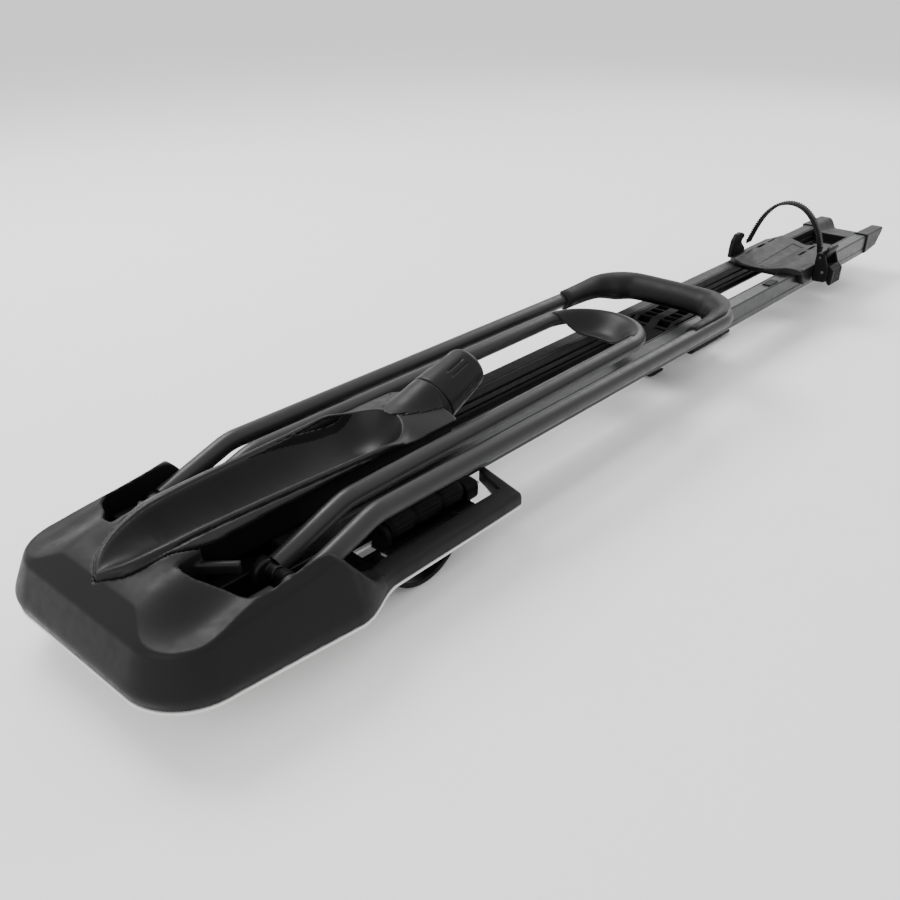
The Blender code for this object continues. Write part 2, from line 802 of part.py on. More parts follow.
def outer_hoop_path():
    half = leg_path(OUTER_HALF, OUTER_HALF, OUTER_CORNER_Y - 12 * MM, OUTER_END_Z) + outer_turn()
    return half + [(-x, y, z) for x, y, z in reversed(half)]


def inner_hoop_path():
    leg = leg_path(INNER_HALF, INNER_ARC_HALF, INNER_ARC_Y - 8 * MM, INNER_END_Z)
    turn = []
    for step in range(17):
        angle = math.pi * step / 16
        x = INNER_ARC_HALF * math.cos(angle)
        turn.append((x, INNER_ARC_Y + INNER_ARC_HALF * math.sin(angle), INNER_END_Z))
    return leg + turn + [(-x, y, z) for x, y, z in reversed(leg)]


def open_tube(name, path):
    """Hollow tube, open at both ends."""
    part = tube(name, path, HOOP_RADIUS, 3)
    first, last = Vector(path[0]), Vector(path[-1])
    before = first + (first - Vector(path[1])).normalized() * 5 * MM
    after = last + (last - Vector(path[-2])).normalized() * 5 * MM
    bore = tube(name + "_bore", [tuple(before)] + path[1:-1] + [tuple(after)], HOOP_RADIUS - TUBE_WALL, 2)
    return cut(part, bore)


def make_knuckle(name, centre_x, half_width):
    """Eye that turns on the pivot pin and plugs against the end of a hoop leg."""
    low, high = centre_x - half_width, centre_x + half_width
    eye = rod(name, (low, PIVOT_Y, PIVOT_Z), (high, PIVOT_Y, PIVOT_Z), KNUCKLE_RADIUS, 24)
    lean = math.atan2(HOOP_Z - PIVOT_Z, LEG_BEND_Y - PIVOT_Y)
    along = Vector((0, math.cos(lean), math.sin(lean)))
    across = Vector((0, -math.sin(lean), math.cos(lean))) * (HOOP_RADIUS - 1.5 * MM)
    centre = Vector((centre_x, PIVOT_Y, PIVOT_Z))
    near = centre + along * 4 * MM
    far = centre + along * 12.6 * MM
    outline = [(p.y, p.z) for p in (near + across, near - across, far - across, far + across)]
    fuse(eye, plate("neck", outline, low + 0.5 * MM, high - 0.5 * MM, "X"))
    cut(eye, rod(name + "_bore", (low - 5 * MM, PIVOT_Y, PIVOT_Z), (high + 5 * MM, PIVOT_Y, PIVOT_Z),
                 PIN_RADIUS + GAP, 16))
    return eye


def make_hoops():
    outer = open_tube("outer_hoop", outer_hoop_path())
    finish(outer, "outer_hoop_axis", COATED, 0.35, 0.3)
    inner = open_tube("inner_hoop", inner_hoop_path())
    finish(inner, "inner_hoop_axis", COATED, 0.35, 0.3)
    for label, centre, pivot in (
        ("outer_knuckle", OUTER_HALF, "outer_hoop_axis"),
        ("inner_knuckle", INNER_HALF, "inner_hoop_axis"),
    ):
        right = make_knuckle(label + "_r", centre, 9.2 * MM)
        left = mirrored(right, label + "_l")
        finish(right, pivot, PLASTIC, 0.5)
        finish(left, pivot, PLASTIC, 0.5)


def sleeve_ring(place, outward, swell):
    """Open C section round the inner and upper side of the tube, thicker where swell is 1."""
    angles = [math.radians(78 + (262 - 78) * step / 8) for step in range(9)]
    inside = HOOP_RADIUS + GAP
    place = Vector(place)
    up = Vector((0, 0, 1))
    ring = [place + (outward * math.cos(a) + up * math.sin(a)) * inside for a in angles]
    for angle in reversed(angles):
        wall = SLEEVE_WALL * (1 + 0.3 * swell)
        wall += SLEEVE_CROWN * swell * max(0.0, math.sin(angle)) ** 2 * 0.8
        wall += SLEEVE_SWELL * swell * max(0.0, -math.cos(angle)) ** 2
        ring.append(place + (outward * math.cos(angle) + up * math.sin(angle)) * (inside + wall))
    return [tuple(p) for p in ring]


def make_hoop_sleeve():
    """Soft grip moulded over the inner and upper side of the outer hoop's far end."""
    leg = [(OUTER_HALF, lerp(SLEEVE_START_Y, OUTER_CORNER_Y, t / 3), OUTER_END_Z) for t in range(3)]
    half = leg + outer_turn() + [(OUTER_HALF * 0.25, OUTER_CORNER_Y + OUTER_CORNER_RADIUS, OUTER_END_Z)]
    path = half + [(0, OUTER_CORNER_Y + OUTER_CORNER_RADIUS, OUTER_END_Z)]
    path += [(-x, y, z) for x, y, z in reversed(half)]
    last = len(path) - 1
    rings = []
    for index, place in enumerate(path):
        along = Vector(path[min(index + 1, last)]) - Vector(path[max(index - 1, 0)])
        outward = Vector((along.y, -along.x, 0)).normalized()
        end = 2 * min(index, last - index) / last
        rings.append(sleeve_ring(place, outward, ramp(end, [(0, 0.0), (0.25, 0.25), (0.8, 1.0)])))
    sleeve = loft("hoop_sleeve", rings)
    return finish(sleeve, "outer_hoop_axis", RUBBER, 0.6)


def make_inner_saddle():
    """Dished web inside the bend of the inner hoop that the tyre rests against."""
    outer = INNER_ARC_HALF - HOOP_RADIUS - 2 * GAP
    floor = INNER_END_Z - 14 * MM
    inner = outer - SADDLE_THICKNESS
    start = math.asin((SADDLE_FRONT_LIP_Y - INNER_ARC_Y) / outer)
    sweep = [start + (math.pi - 2 * start) * step / 18 for step in range(19)]
    outline = [(outer * math.cos(a), INNER_ARC_Y + outer * math.sin(a)) for a in sweep]
    wall = outline + [(inner * math.cos(a), INNER_ARC_Y + inner * math.sin(a)) for a in reversed(sweep)]
    saddle = plate("inner_hoop_saddle", wall, floor, floor + 21 * MM)
    fuse(saddle, plate("web", outline, floor, floor + SADDLE_THICKNESS))
    return finish(saddle, "inner_hoop_axis", PLASTIC, 0.4)


# ---------------------------------------------------------------- tension knob

def make_tension_knob():
    axis = knob_point(1) - knob_point(0)
    profile = [
        (0, KNOB_LENGTH),
        (KNOB_END_RADIUS - 6 * MM, KNOB_LENGTH),
        (KNOB_END_RADIUS - 2 * MM, KNOB_LENGTH - 1.5 * MM),
        (KNOB_END_RADIUS, KNOB_LENGTH - 6 * MM),
        (KNOB_BASE_RADIUS, 2 * MM),
        (KNOB_BASE_RADIUS - 0.8 * MM, GAP),
        (0, GAP),
    ]
    knob = turned("tension_knob", profile, KNOB_SEAM, axis)
    screw = turned(
        "lead_screw",
        [(0, 0), (SCREW_RADIUS, 0), (SCREW_RADIUS, -BOSS_LENGTH + 2 * MM), (0, -BOSS_LENGTH + 2 * MM)],
        KNOB_SEAM, axis, 16,
    )
    finish(knob, "knob_axis", PLASTIC, 0.35)
    finish(screw, "knob_axis", STEEL, 0.35, 1.0)
    bore = SCREW_RADIUS + GAP
    outer = SCREW_RADIUS + 7 * MM
    near, far = -10 * MM, -22 * MM
    nut = turned("tension_nut", [(bore, near), (outer, near), (outer, far), (bore, far), (bore, near)],
                 KNOB_SEAM, axis, 20)
    finish(nut, "knob_axis", STEEL, 0.4, 1.0)


# ---------------------------------------------------------------- rails

def rail_outline():
    """Section of the right rail as (x, z): a hollow box with an inner lip and a side groove."""
    inner, outer = RAIL_INNER, RAIL_OUTER
    return [
        (LIP_INNER, RAIL_BOTTOM),
        (outer - 1.5 * MM, RAIL_BOTTOM),
        (outer, RAIL_BOTTOM + 1.5 * MM),
        (outer, RAIL_TOP - 2 * MM),
        (outer - 2 * MM, RAIL_TOP),
        (inner + 1 * MM, RAIL_TOP),
        (inner, RAIL_TOP - 1 * MM),
        (inner, GROOVE_Z + 1.6 * MM),
        (inner + 1.2 * MM, GROOVE_Z + 1.6 * MM),
        (inner + 1.2 * MM, GROOVE_Z - 1.6 * MM),
        (inner, GROOVE_Z - 1.6 * MM),
        (inner, RAIL_BOTTOM + LIP_HEIGHT),
        (LIP_INNER, RAIL_BOTTOM + LIP_HEIGHT),
    ]


def make_rails():
    rail = plate("rail_r", rail_outline(), RAIL_START_Y, RAIL_END_Y, "Y")
    wall = RAIL_WALL
    hollow = block(
        "rail_hollow",
        (RAIL_INNER + 1.2 * MM + wall, RAIL_START_Y - 5 * MM, RAIL_BOTTOM + wall),
        (RAIL_OUTER - wall, RAIL_END_Y + 5 * MM, RAIL_TOP - wall),
    )
    cut(rail, hollow)
    twin = mirrored(rail, "rail_l")
    finish(rail, "carrier", ANODISED, 0.35, 0.9)
    finish(twin, "carrier", ANODISED, 0.35, 0.9)


def make_rail_insert():
    """Small dark plug let into the right rail's top."""
    low = RAIL_TOP + GAP
    insert = block("rail_insert", (41 * MM, 1094 * MM, low), (RAIL_OUTER - 2.5 * MM, 1124 * MM, low + 1.5 * MM))
    return finish(insert, "carrier", PLASTIC, 0.6)


def make_rear_crossmember():
    """Dark filler that rests on the rails' inner lips in front of the end cap."""
    half = RAIL_INNER - GAP
    low = RAIL_BOTTOM + LIP_HEIGHT + GAP
    filler = block("rear_crossmember", (-half, 1352 * MM, low), (half, RAIL_END_Y - 2 * MM, low + 8 * MM))
    return finish(filler, "carrier", PLASTIC, 0.6)


def make_rail_crossmember():
    """Plate bolted under both rails that ties them to the head."""
    plate_part = block("rail_crossmember", (-55 * MM, 340 * MM, 8.8 * MM), (55 * MM, 405 * MM, 9.7 * MM))
    return finish(plate_part, "carrier", STEEL, 0.4, 1.0)


def make_rail_bolts():
    for number, (x, y) in enumerate(((-44, 356), (44, 356), (-44, 392), (44, 392)), start=1):
        head = rod(f"rail_bolt_{number}", (x * MM, y * MM, -GAP), (x * MM, y * MM, -2.6 * MM), 5.5 * MM, 6)
        finish(head, "carrier", STEEL, 0.4, 1.0)


def make_end_cap():
    """Plastic cap over both rail ends, with two ears that flare up and a low middle."""
    start = RAIL_END_Y + GAP
    half_section = [(0, 12), (57, 10), (60, 24), (58, 43), (40, 45), (26, 38), (0, 34)]
    rings = []
    for y, widen, lift in ((start, 0.0, 0.0), (start + 22 * MM, 0.5, 0.0), (CAP_END_Y, -0.5, 1.0)):
        ring = []
        for x, z in half_section:
            height = z * MM
            if z > 30:
                height += (-1 * MM if x > 30 else -6 * MM) * lift
            else:
                height += 6 * MM * lift
            ring.append(((x + widen * (x > 0)) * MM, y - (0 if z > 30 else 26 * MM * lift), height))
        rings.append(ring + [(-x, y2, z2) for x, y2, z2 in reversed(ring[1:-1])])
    cap = loft("rail_end_cap", rings)
    return finish(cap, "carrier", PLASTIC, 0.5)


# ---------------------------------------------------------------- front clamps

def jaw_outline():
    """Curved strap under the front crossbar, from its pivot eye to its upturned free end."""
    outer = JAW_ARC_RADIUS
    inner = outer - 5 * MM
    sweep = [math.radians(190 + 154 * step / 12) for step in range(13)]
    arc = [(SEAT_Y + outer * math.cos(a), JAW_ARC_Z + outer * math.sin(a)) for a in sweep]
    back = [(SEAT_Y + inner * math.cos(a), JAW_ARC_Z + inner * math.sin(a)) for a in reversed(sweep)]
    tongue = [(SEAT_Y + outer * 0.975, 9 * MM), (SEAT_Y + inner * 0.97, 9 * MM)]
    return arc + tongue + back


def make_front_clamps():
    jaw = plate("front_jaw_r", jaw_outline(), JAW_INNER, JAW_OUTER, "X")
    eye_radius = 6 * MM
    fuse(jaw, rod("eye", (JAW_INNER, JAW_PIVOT_Y, JAW_PIVOT_Z), (JAW_OUTER, JAW_PIVOT_Y, JAW_PIVOT_Z),
                  eye_radius, 18))
    cut(jaw, rod("jaw_bore", (JAW_INNER - 5 * MM, JAW_PIVOT_Y, JAW_PIVOT_Z),
                 (JAW_OUTER + 5 * MM, JAW_PIVOT_Y, JAW_PIVOT_Z), 1.8 * MM, 12))
    pin = rod("jaw_pin_r", (78 * MM, JAW_PIVOT_Y, JAW_PIVOT_Z), (99.4 * MM, JAW_PIVOT_Y, JAW_PIVOT_Z),
              1.5 * MM, 12)
    housing = make_clamp_housing()
    dial = make_clamp_dial()
    screw = rod("clamp_screw_r", (DIAL_X, DIAL_END_Y + GAP, DIAL_Z), (DIAL_X, DIAL_END_Y + 16 * MM, DIAL_Z),
                2.5 * MM, 12)
    for part, twin_name, pivot, colour, metallic in (
        (jaw, "front_jaw_l", "jaw_axis", PLASTIC, 0.0),
        (pin, "jaw_pin_l", "carrier", STEEL, 1.0),
        (housing, "clamp_housing_l", "carrier", PLASTIC, 0.0),
        (dial, "clamp_dial_l", "dial_axis", PLASTIC, 0.0),
        (screw, "clamp_screw_l", "dial_axis", STEEL, 1.0),
    ):
        twin = mirrored(part, twin_name)
        fixed = pivot == "carrier"
        finish(part, pivot if fixed else pivot + "_r", colour, 0.45, metallic)
        finish(twin, pivot if fixed else pivot + "_l", colour, 0.45, metallic)


def make_clamp_housing():
    """Open cradle in the window of the arm, with a bearing wall at each end of the dial."""
    low, high = BAY_INNER + 2.3 * MM, 84 * MM
    base = block("clamp_housing_r", (low, 262 * MM, GAP), (high, 378 * MM, 6.5 * MM))
    front = block("front_wall", (low, 262 * MM, 1 * MM), (high, 268 * MM, 27 * MM))
    rear = block("rear_wall", (low, 372 * MM, 1 * MM), (high, 378 * MM, 27 * MM))
    fuse(base, front, rear)
    cut(base, rod("housing_bore", (DIAL_X, 255 * MM, DIAL_Z), (DIAL_X, 385 * MM, DIAL_Z), 3 * MM, 14))
    return base


def make_clamp_dial():
    """Long thumb dial that lies along the arm."""
    length = DIAL_END_Y - DIAL_START_Y
    profile = [
        (0, length),
        (DIAL_RADIUS - 3 * MM, length),
        (DIAL_RADIUS, length - 4 * MM),
        (DIAL_RADIUS, 6 * MM),
        (DIAL_RADIUS - 3 * MM, 0),
        (0, 0),
    ]
    return turned("clamp_dial_r", profile, (DIAL_X, DIAL_START_Y, DIAL_Z), (0, 1, 0), 20)


# ---------------------------------------------------------------- rear clamp

def make_rear_clamp():
    """Carriage that slides between the rails, with its seat on the rear crossbar."""
    body_outline = [(CARRIAGE_FRONT_Y - 12 * MM, 14 * MM), (CARRIAGE_REAR_Y, 14 * MM),
                    (CARRIAGE_REAR_Y, 34 * MM), (CARRIAGE_REAR_Y - 20 * MM, 44 * MM),
                    (CARRIAGE_FRONT_Y + 24 * MM, 44 * MM), (CARRIAGE_FRONT_Y - 12 * MM, 22 * MM)]
    carriage = plate("rear_clamp_carriage", body_outline, -31.5 * MM, 31.5 * MM, "X")
    neck = block("neck", (-25.5 * MM, CARRIAGE_FRONT_Y, 5 * MM), (25.5 * MM, CARRIAGE_REAR_Y, 16 * MM))
    saddle = block("saddle", (-50 * MM, SADDLE_FRONT_Y, -0.5 * MM), (50 * MM, SADDLE_REAR_Y, 9 * MM))
    fuse(carriage, neck, saddle)
    for side in (1, -1):
        low, high = sorted((side * (HOOK_HALF + 2 * GAP), side * (HOOK_HALF + 5.6 * MM)))
        fuse(carriage, block("hook_ear", (low, 855 * MM, -6 * MM), (high, 884 * MM, 9 * MM)))
        low, high = sorted((side * (LEVER_HALF + 2 * GAP), side * (LEVER_HALF + 5.6 * MM)))
        fuse(carriage, block("lever_ear", (low, 962 * MM, -20 * MM), (high, 984 * MM, 9 * MM)))
    hook_room = HOOK_HALF + 2 * GAP
    lever_room = LEVER_HALF + 2 * GAP
    cut(
        carriage,
        rod("hook_bore", (-30 * MM, HOOK_PIVOT_Y, HOOK_PIVOT_Z), (30 * MM, HOOK_PIVOT_Y, HOOK_PIVOT_Z),
            2.3 * MM, 12),
        rod("lever_bore", (-30 * MM, LEVER_PIVOT_Y, LEVER_PIVOT_Z), (30 * MM, LEVER_PIVOT_Y, LEVER_PIVOT_Z),
            2.3 * MM, 12),
        block("hook_room", (-hook_room, 846 * MM, -12 * MM), (hook_room, 877 * MM, 12 * MM)),
        block("lever_room", (-lever_room, 966.5 * MM, -30 * MM), (lever_room, 990 * MM, 8 * MM)),
    )
    finish(carriage, "rear_clamp_slide", PLASTIC, 0.5)
    pad = block("rear_crossbar_pad", (-46 * MM, 884 * MM, SEAT_Z), (46 * MM, 961 * MM, -0.5 * MM - GAP))
    finish(pad, "rear_clamp_slide", RUBBER, 0.8)
    for name, half, y, z in (
        ("rear_hook_pin", HOOK_HALF + 5.4 * MM, HOOK_PIVOT_Y, HOOK_PIVOT_Z),
        ("rear_lever_pin", LEVER_HALF + 5.4 * MM, LEVER_PIVOT_Y, LEVER_PIVOT_Z),
    ):
        finish(rod(name, (-half, y, z), (half, y, z), 2 * MM, 12), "rear_clamp_slide", STEEL, 0.4, 1.0)


def make_rear_hook():
    """Hook that swings under the front edge of the rear crossbar."""
    outline = [(856, 8), (868, 8), (869, -6), (863, -16), (862, -26), (866, -33), (884, -35), (884, -38),
               (862, -39), (848, -37), (843, -30), (847, -16), (855, -6)]
    hook = plate("rear_hook", [(y * MM, z * MM) for y, z in outline], -HOOK_HALF, HOOK_HALF, "X")
    cut(hook, rod("rear_hook_bore", (-20 * MM, HOOK_PIVOT_Y, HOOK_PIVOT_Z), (20 * MM, HOOK_PIVOT_Y, HOOK_PIVOT_Z),
                  2.3 * MM, 12))
    return finish(hook, "hook_axis", PLASTIC, 0.5)


def make_rear_lever():
    """Cam lever behind the rear crossbar, lying along the rails when closed."""
    outline = [(967, -7), (980, -7), (988, -19), (1004, -27), (1078, -32), (1081, -34.5), (1078, -37),
               (1000, -36.5), (976, -34), (966.8, -27), (967, -18)]
    lever = plate("rear_clamp_lever", [(y * MM, z * MM) for y, z in outline], -LEVER_HALF, LEVER_HALF, "X")
    cut(lever, rod("rear_lever_bore", (-20 * MM, LEVER_PIVOT_Y, LEVER_PIVOT_Z),
                   (20 * MM, LEVER_PIVOT_Y, LEVER_PIVOT_Z), 2.3 * MM, 12))
    return finish(lever, "lever_axis", PLASTIC, 0.5)


# ---------------------------------------------------------------- rear wheel cradle

def cradle_section(y):
    """Closed section of the saddle plate, dished for the tyre."""
    front = ramp(y, [(CRADLE_FRONT_Y, 1.0), (1200 * MM, 0.0)])
    left = -60 * MM + 24 * MM * front
    crown = -36 * MM + 14 * MM * front
    top = [(left, 46), (left + 8 * MM, 50), (crown, 54 - 4 * front), (-20 * MM + 4 * MM * front, 49.5)]
    top += [(-4 * MM, 45.5), (6 * MM, 45.5), (22 * MM, 50), (40 * MM, 55), (52 * MM, 53.5), (66 * MM, 50)]
    base = RAIL_TOP + GAP
    under = [(66 * MM, base), (20 * MM, base), (-10 * MM, base), (left, base)]
    return [(x, y, z * MM) for x, z in top] + [(x, y, z) for x, z in under]


def make_cradle():
    stations = [CRADLE_FRONT_Y, 1180 * MM, 1200 * MM, 1250 * MM, CRADLE_REAR_Y]
    cradle = loft("wheel_cradle", [cradle_section(y) for y in stations])
    fuse(
        cradle,
        block("keel", (-32.4 * MM, 1176 * MM, 33 * MM), (32.4 * MM, 1312 * MM, 44 * MM)),
        block("skirt", (RAIL_OUTER + 2 * GAP, 1180 * MM, 24 * MM), (66 * MM, 1268 * MM, 48 * MM)),
    )
    for x, y in SLOTS:
        slot = block("cradle_slot", ((x - 2) * MM, (y - 13) * MM, 20 * MM), ((x + 2) * MM, (y + 13) * MM, 80 * MM))
        cut(cradle, slot)
    return finish(cradle, "cradle_slide", PLASTIC, 0.45)


def make_strap_anchor():
    """Upright hooked tab on the left that holds the fixed end of the strap."""
    outline = [(1186, 38), (1232, 38), (1232, 52), (1224, 60), (1218, 66), (1224, 71), (1215, 77), (1202, 79),
               (1192, 72), (1188, 56)]
    anchor = plate("strap_anchor", [(y * MM, z * MM) for y, z in outline], -66 * MM, -60.5 * MM, "X")
    return finish(anchor, "cradle_slide", PLASTIC, 0.5)


def strap_arch(offset):
    """Arch of the strap in its own plane as (x, z) points, from the anchor over to the buckle."""
    spine = [(-55, 60.5), (-46, 82), (-36, 102), (-24, 117), (-10, 127), (6, 131.5), (22, 129), (36, 121),
             (48, 108), (56, 94), (61.5, 78), (64, 64)]
    points = []
    last = len(spine) - 1
    for index, (x, z) in enumerate(spine):
        x0, z0 = spine[max(index - 1, 0)]
        x1, z1 = spine[min(index + 1, last)]
        run = Vector((x1 - x0, z1 - z0)).normalized()
        points.append((x * MM - run.y * offset, z * MM + run.x * offset))
    return points


def make_strap():
    outline = strap_arch(STRAP_THICKNESS / 2) + list(reversed(strap_arch(-STRAP_THICKNESS / 2)))
    strap = plate("ratchet_strap", outline, STRAP_Y - STRAP_WIDTH / 2, STRAP_Y + STRAP_WIDTH / 2, "Y")
    return finish(strap, "cradle_slide", RUBBER, 0.5)


def make_buckle():
    """Ratchet buckle on the near side: a forked base, its lever, the release tab and their pins."""
    side_outline = fillet([(67 * MM, 24 * MM, 0), (88 * MM, 25 * MM, 0), (90 * MM, 44 * MM, 0),
                           (80 * MM, 69 * MM, 0), (68 * MM, 69 * MM, 0), (67 * MM, 46 * MM, 0)],
                          3 * MM, 3, closed=True)
    outline = [(x, z) for x, z, y in side_outline]
    base = plate("buckle_base", outline, STRAP_Y - 22 * MM, STRAP_Y - 18.5 * MM, "Y")
    fuse(base, plate("cheek", outline, STRAP_Y + 18.5 * MM, STRAP_Y + 22 * MM, "Y"))
    fuse(base, block("back", (67 * MM, STRAP_Y - 20 * MM, 28 * MM), (70 * MM, STRAP_Y + 20 * MM, 47 * MM)))
    cut(
        base,
        rod("lever_pin_bore", (BUCKLE_PIVOT_X, 1200 * MM, BUCKLE_PIVOT_Z), (BUCKLE_PIVOT_X, 1280 * MM, BUCKLE_PIVOT_Z),
            2.3 * MM, 12),
        rod("release_pin_bore", (RELEASE_PIVOT_X, 1200 * MM, RELEASE_PIVOT_Z),
            (RELEASE_PIVOT_X, 1280 * MM, RELEASE_PIVOT_Z), 1.8 * MM, 12),
    )
    finish(base, "cradle_slide", PLASTIC, 0.45)
    half = 21.6 * MM
    finish(rod("buckle_pin", (BUCKLE_PIVOT_X, STRAP_Y - half, BUCKLE_PIVOT_Z),
               (BUCKLE_PIVOT_X, STRAP_Y + half, BUCKLE_PIVOT_Z), 2 * MM, 12), "cradle_slide", STEEL, 0.4, 1.0)
    finish(rod("release_pin", (RELEASE_PIVOT_X, STRAP_Y - half, RELEASE_PIVOT_Z),
               (RELEASE_PIVOT_X, STRAP_Y + half, RELEASE_PIVOT_Z), 1.5 * MM, 12), "cradle_slide", STEEL, 0.4, 1.0)


def make_buckle_lever():
    outline = [(73, 33), (84, 31), (92, 20), (96, 22), (97, 44), (90, 50), (78, 48), (73, 42)]
    lever = plate("buckle_lever", [(x * MM, z * MM) for x, z in outline], STRAP_Y - 18 * MM, STRAP_Y + 18 * MM, "Y")
    cut(lever, rod("buckle_lever_bore", (BUCKLE_PIVOT_X, 1210 * MM, BUCKLE_PIVOT_Z),
                   (BUCKLE_PIVOT_X, 1270 * MM, BUCKLE_PIVOT_Z), 2.3 * MM, 12))
    return finish(lever, "buckle_axis", PLASTIC, 0.45)


def make_release_tab():
    outline = [(69.5, 57), (77, 56), (80, 62), (86, 74), (83, 77), (74, 69), (69.5, 66)]
    tab = plate("release_tab", [(x * MM, z * MM) for x, z in outline], STRAP_Y - 18 * MM, STRAP_Y + 18 * MM, "Y")
    cut(tab, rod("release_bore", (RELEASE_PIVOT_X, 1210 * MM, RELEASE_PIVOT_Z),
                 (RELEASE_PIVOT_X, 1270 * MM, RELEASE_PIVOT_Z), 1.8 * MM, 12))
    return finish(tab, "release_axis", PLASTIC, 0.45)


def main():
    make_head_cover()
    make_base_pan()
    make_chassis_tray()
    make_wheel_trough()
    make_knob_boss()
    make_front_pad()
    make_pivots()
    make_hoops()
    make_hoop_sleeve()
    make_inner_saddle()
    make_tension_knob()
    make_rails()
    make_rail_insert()
    make_rear_crossmember()
    make_rail_crossmember()
    make_rail_bolts()
    make_end_cap()
    make_front_clamps()
    make_rear_clamp()
    make_rear_hook()
    make_rear_lever()
    make_cradle()
    make_strap_anchor()
    make_strap()
    make_buckle()
    make_buckle_lever()
    make_release_tab()
    for cutter in CUTTERS.objects:
        cutter.parent = EMPTIES["carrier"]


main()
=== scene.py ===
"""Looks of the wheel-hold roof carrier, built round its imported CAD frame.

Most moulded parts are drawn as fields: a function that is negative inside the part, meshed on a grid and
drawn in to its surface.
"""

import json
import math

import bmesh
import bpy
import numpy as np
from mathutils import Matrix, Vector

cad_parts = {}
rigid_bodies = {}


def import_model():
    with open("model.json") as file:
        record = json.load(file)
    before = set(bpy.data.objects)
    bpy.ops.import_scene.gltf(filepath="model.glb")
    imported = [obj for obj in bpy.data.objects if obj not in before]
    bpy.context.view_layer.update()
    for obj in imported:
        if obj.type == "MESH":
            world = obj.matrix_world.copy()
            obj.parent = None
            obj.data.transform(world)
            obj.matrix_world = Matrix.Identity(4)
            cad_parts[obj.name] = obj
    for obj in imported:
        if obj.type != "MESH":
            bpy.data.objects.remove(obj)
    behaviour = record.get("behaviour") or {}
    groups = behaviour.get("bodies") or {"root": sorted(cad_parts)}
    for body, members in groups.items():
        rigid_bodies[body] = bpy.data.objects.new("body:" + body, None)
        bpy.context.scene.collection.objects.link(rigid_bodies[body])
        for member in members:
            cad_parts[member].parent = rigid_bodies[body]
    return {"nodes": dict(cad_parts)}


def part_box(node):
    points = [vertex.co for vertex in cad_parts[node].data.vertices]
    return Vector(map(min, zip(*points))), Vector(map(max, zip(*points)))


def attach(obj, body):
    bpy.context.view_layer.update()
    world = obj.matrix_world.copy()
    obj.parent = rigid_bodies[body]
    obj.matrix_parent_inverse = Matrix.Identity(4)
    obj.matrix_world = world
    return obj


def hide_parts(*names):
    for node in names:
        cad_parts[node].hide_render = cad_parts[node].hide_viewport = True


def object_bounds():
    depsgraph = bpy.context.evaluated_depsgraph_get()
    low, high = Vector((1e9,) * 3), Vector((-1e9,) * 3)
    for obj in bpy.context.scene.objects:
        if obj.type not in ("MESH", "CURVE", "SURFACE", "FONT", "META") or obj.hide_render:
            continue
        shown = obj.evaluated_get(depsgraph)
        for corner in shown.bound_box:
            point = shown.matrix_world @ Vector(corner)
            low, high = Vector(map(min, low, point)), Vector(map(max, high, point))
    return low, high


for item in list(bpy.data.objects):
    bpy.data.objects.remove(item, do_unlink=True)

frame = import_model()
CAD_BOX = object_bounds()

MM = 0.001
NOSE = np.array([0.0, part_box("head_cover")[0].y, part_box("base_pan")[0].z])
CENTRE = (CAD_BOX[0] + CAD_BOX[1]) / 2

# Head
HEAD_HALF = 132
HEAD_SHOULDER = 141
CORNER_RADIUS = 58
SHOULDER_Y = 185
ARM_HALF = 122
ARM_START_Y = 238
ARM_END_Y = 412
ARM_TAIL_Y = 429
ARM_HEIGHT = 17
PAN_TOP = 2.8
CHIN_HEIGHT = 13
CHIN_UNDERCUT = 4
WALL_LEAN = 0.42
BAY_INNER = 60
BAY_OUTER = 100
BAY_REAR_Y = 400
CHANNEL_HALF = 58
CHANNEL_START_Y = 155
NOSE_HEIGHT = 46
CLIMB_START_Y = 8
CLIMB_LENGTH = 42
TAIL_FALL = (200, 260)
RIDGE_REACH = 104
REAR_WALL_Y = 225
FADE_SPAN = (60, 190)
BAR_START = (42, 90)
BAR_ANGLE = math.radians(44)
BAR_RUN = (math.cos(BAR_ANGLE), math.sin(BAR_ANGLE))
BAR_Z = 58

# Wheel trough
TROUGH_NOSE_Y = 30
TROUGH_UNDERSIDE = 44
CHANNEL_END_Y = 310
CHANNEL_END_RADIUS = 44
TROUGH_FLOOR = 52
RIM_HEIGHT = 84
GROOVE_REACH = 5
STRIP_HALF = 48
STRIP_SLOPE = 0.4
CREASE_DEPTH = 1.1
CREASE_WIDTH = 0.9
BOWL_ROUNDNESS = 2.6
UNDERCUT_WIDTH = 9
UNDERCUT_START_Y = 84
REAR_DECK_SPAN = (300, 350)
REAR_DECK = 86.5
CROWN = 0.0045
DECK_CREST = 77
DECK_END_Y = 400

# Hoops
PIVOT_Y = 148
PIVOT_Z = 37
HOOP_Z = 66
OUTER_END_Z = 66.5
INNER_END_Z = 70
HOOP_RADIUS = 9.5
TUBE_WALL = 1.6
LEG_BEND_Y = 232
OUTER_HALF = 100
OUTER_CORNER_Y = 847
OUTER_CORNER_RADIUS = 50
INNER_HALF = 65
INNER_ARC_HALF = 61.7
INNER_ARC_Y = 693
SLEEVE_START_Y = 778
SADDLE_LIP_Y = 712
SADDLE_DROP = 13.2
SADDLE_RISE = 22
SLEEVE_WALL = 3
SLEEVE_PAD = 9
CORNER_PAD = 11

# Tension knob
KNOB_TILT = math.radians(20)
KNOB_SEAM = np.array([0, 413, 77.5])
KNOB_LENGTH = 62
KNOB_SHOULDER = 7
BOSS_BORE = 12
BOSS_FLARE = 3.5
SCALLOP_PAIRS = 5
SCALLOP_SPREAD = 8
SCALLOP_DEPTH = 1.5
KNOB_BASE_RADIUS = 27.5
KNOB_END_RADIUS = 23
KNOB_AXIS = np.array([0, math.cos(KNOB_TILT), math.sin(KNOB_TILT)])

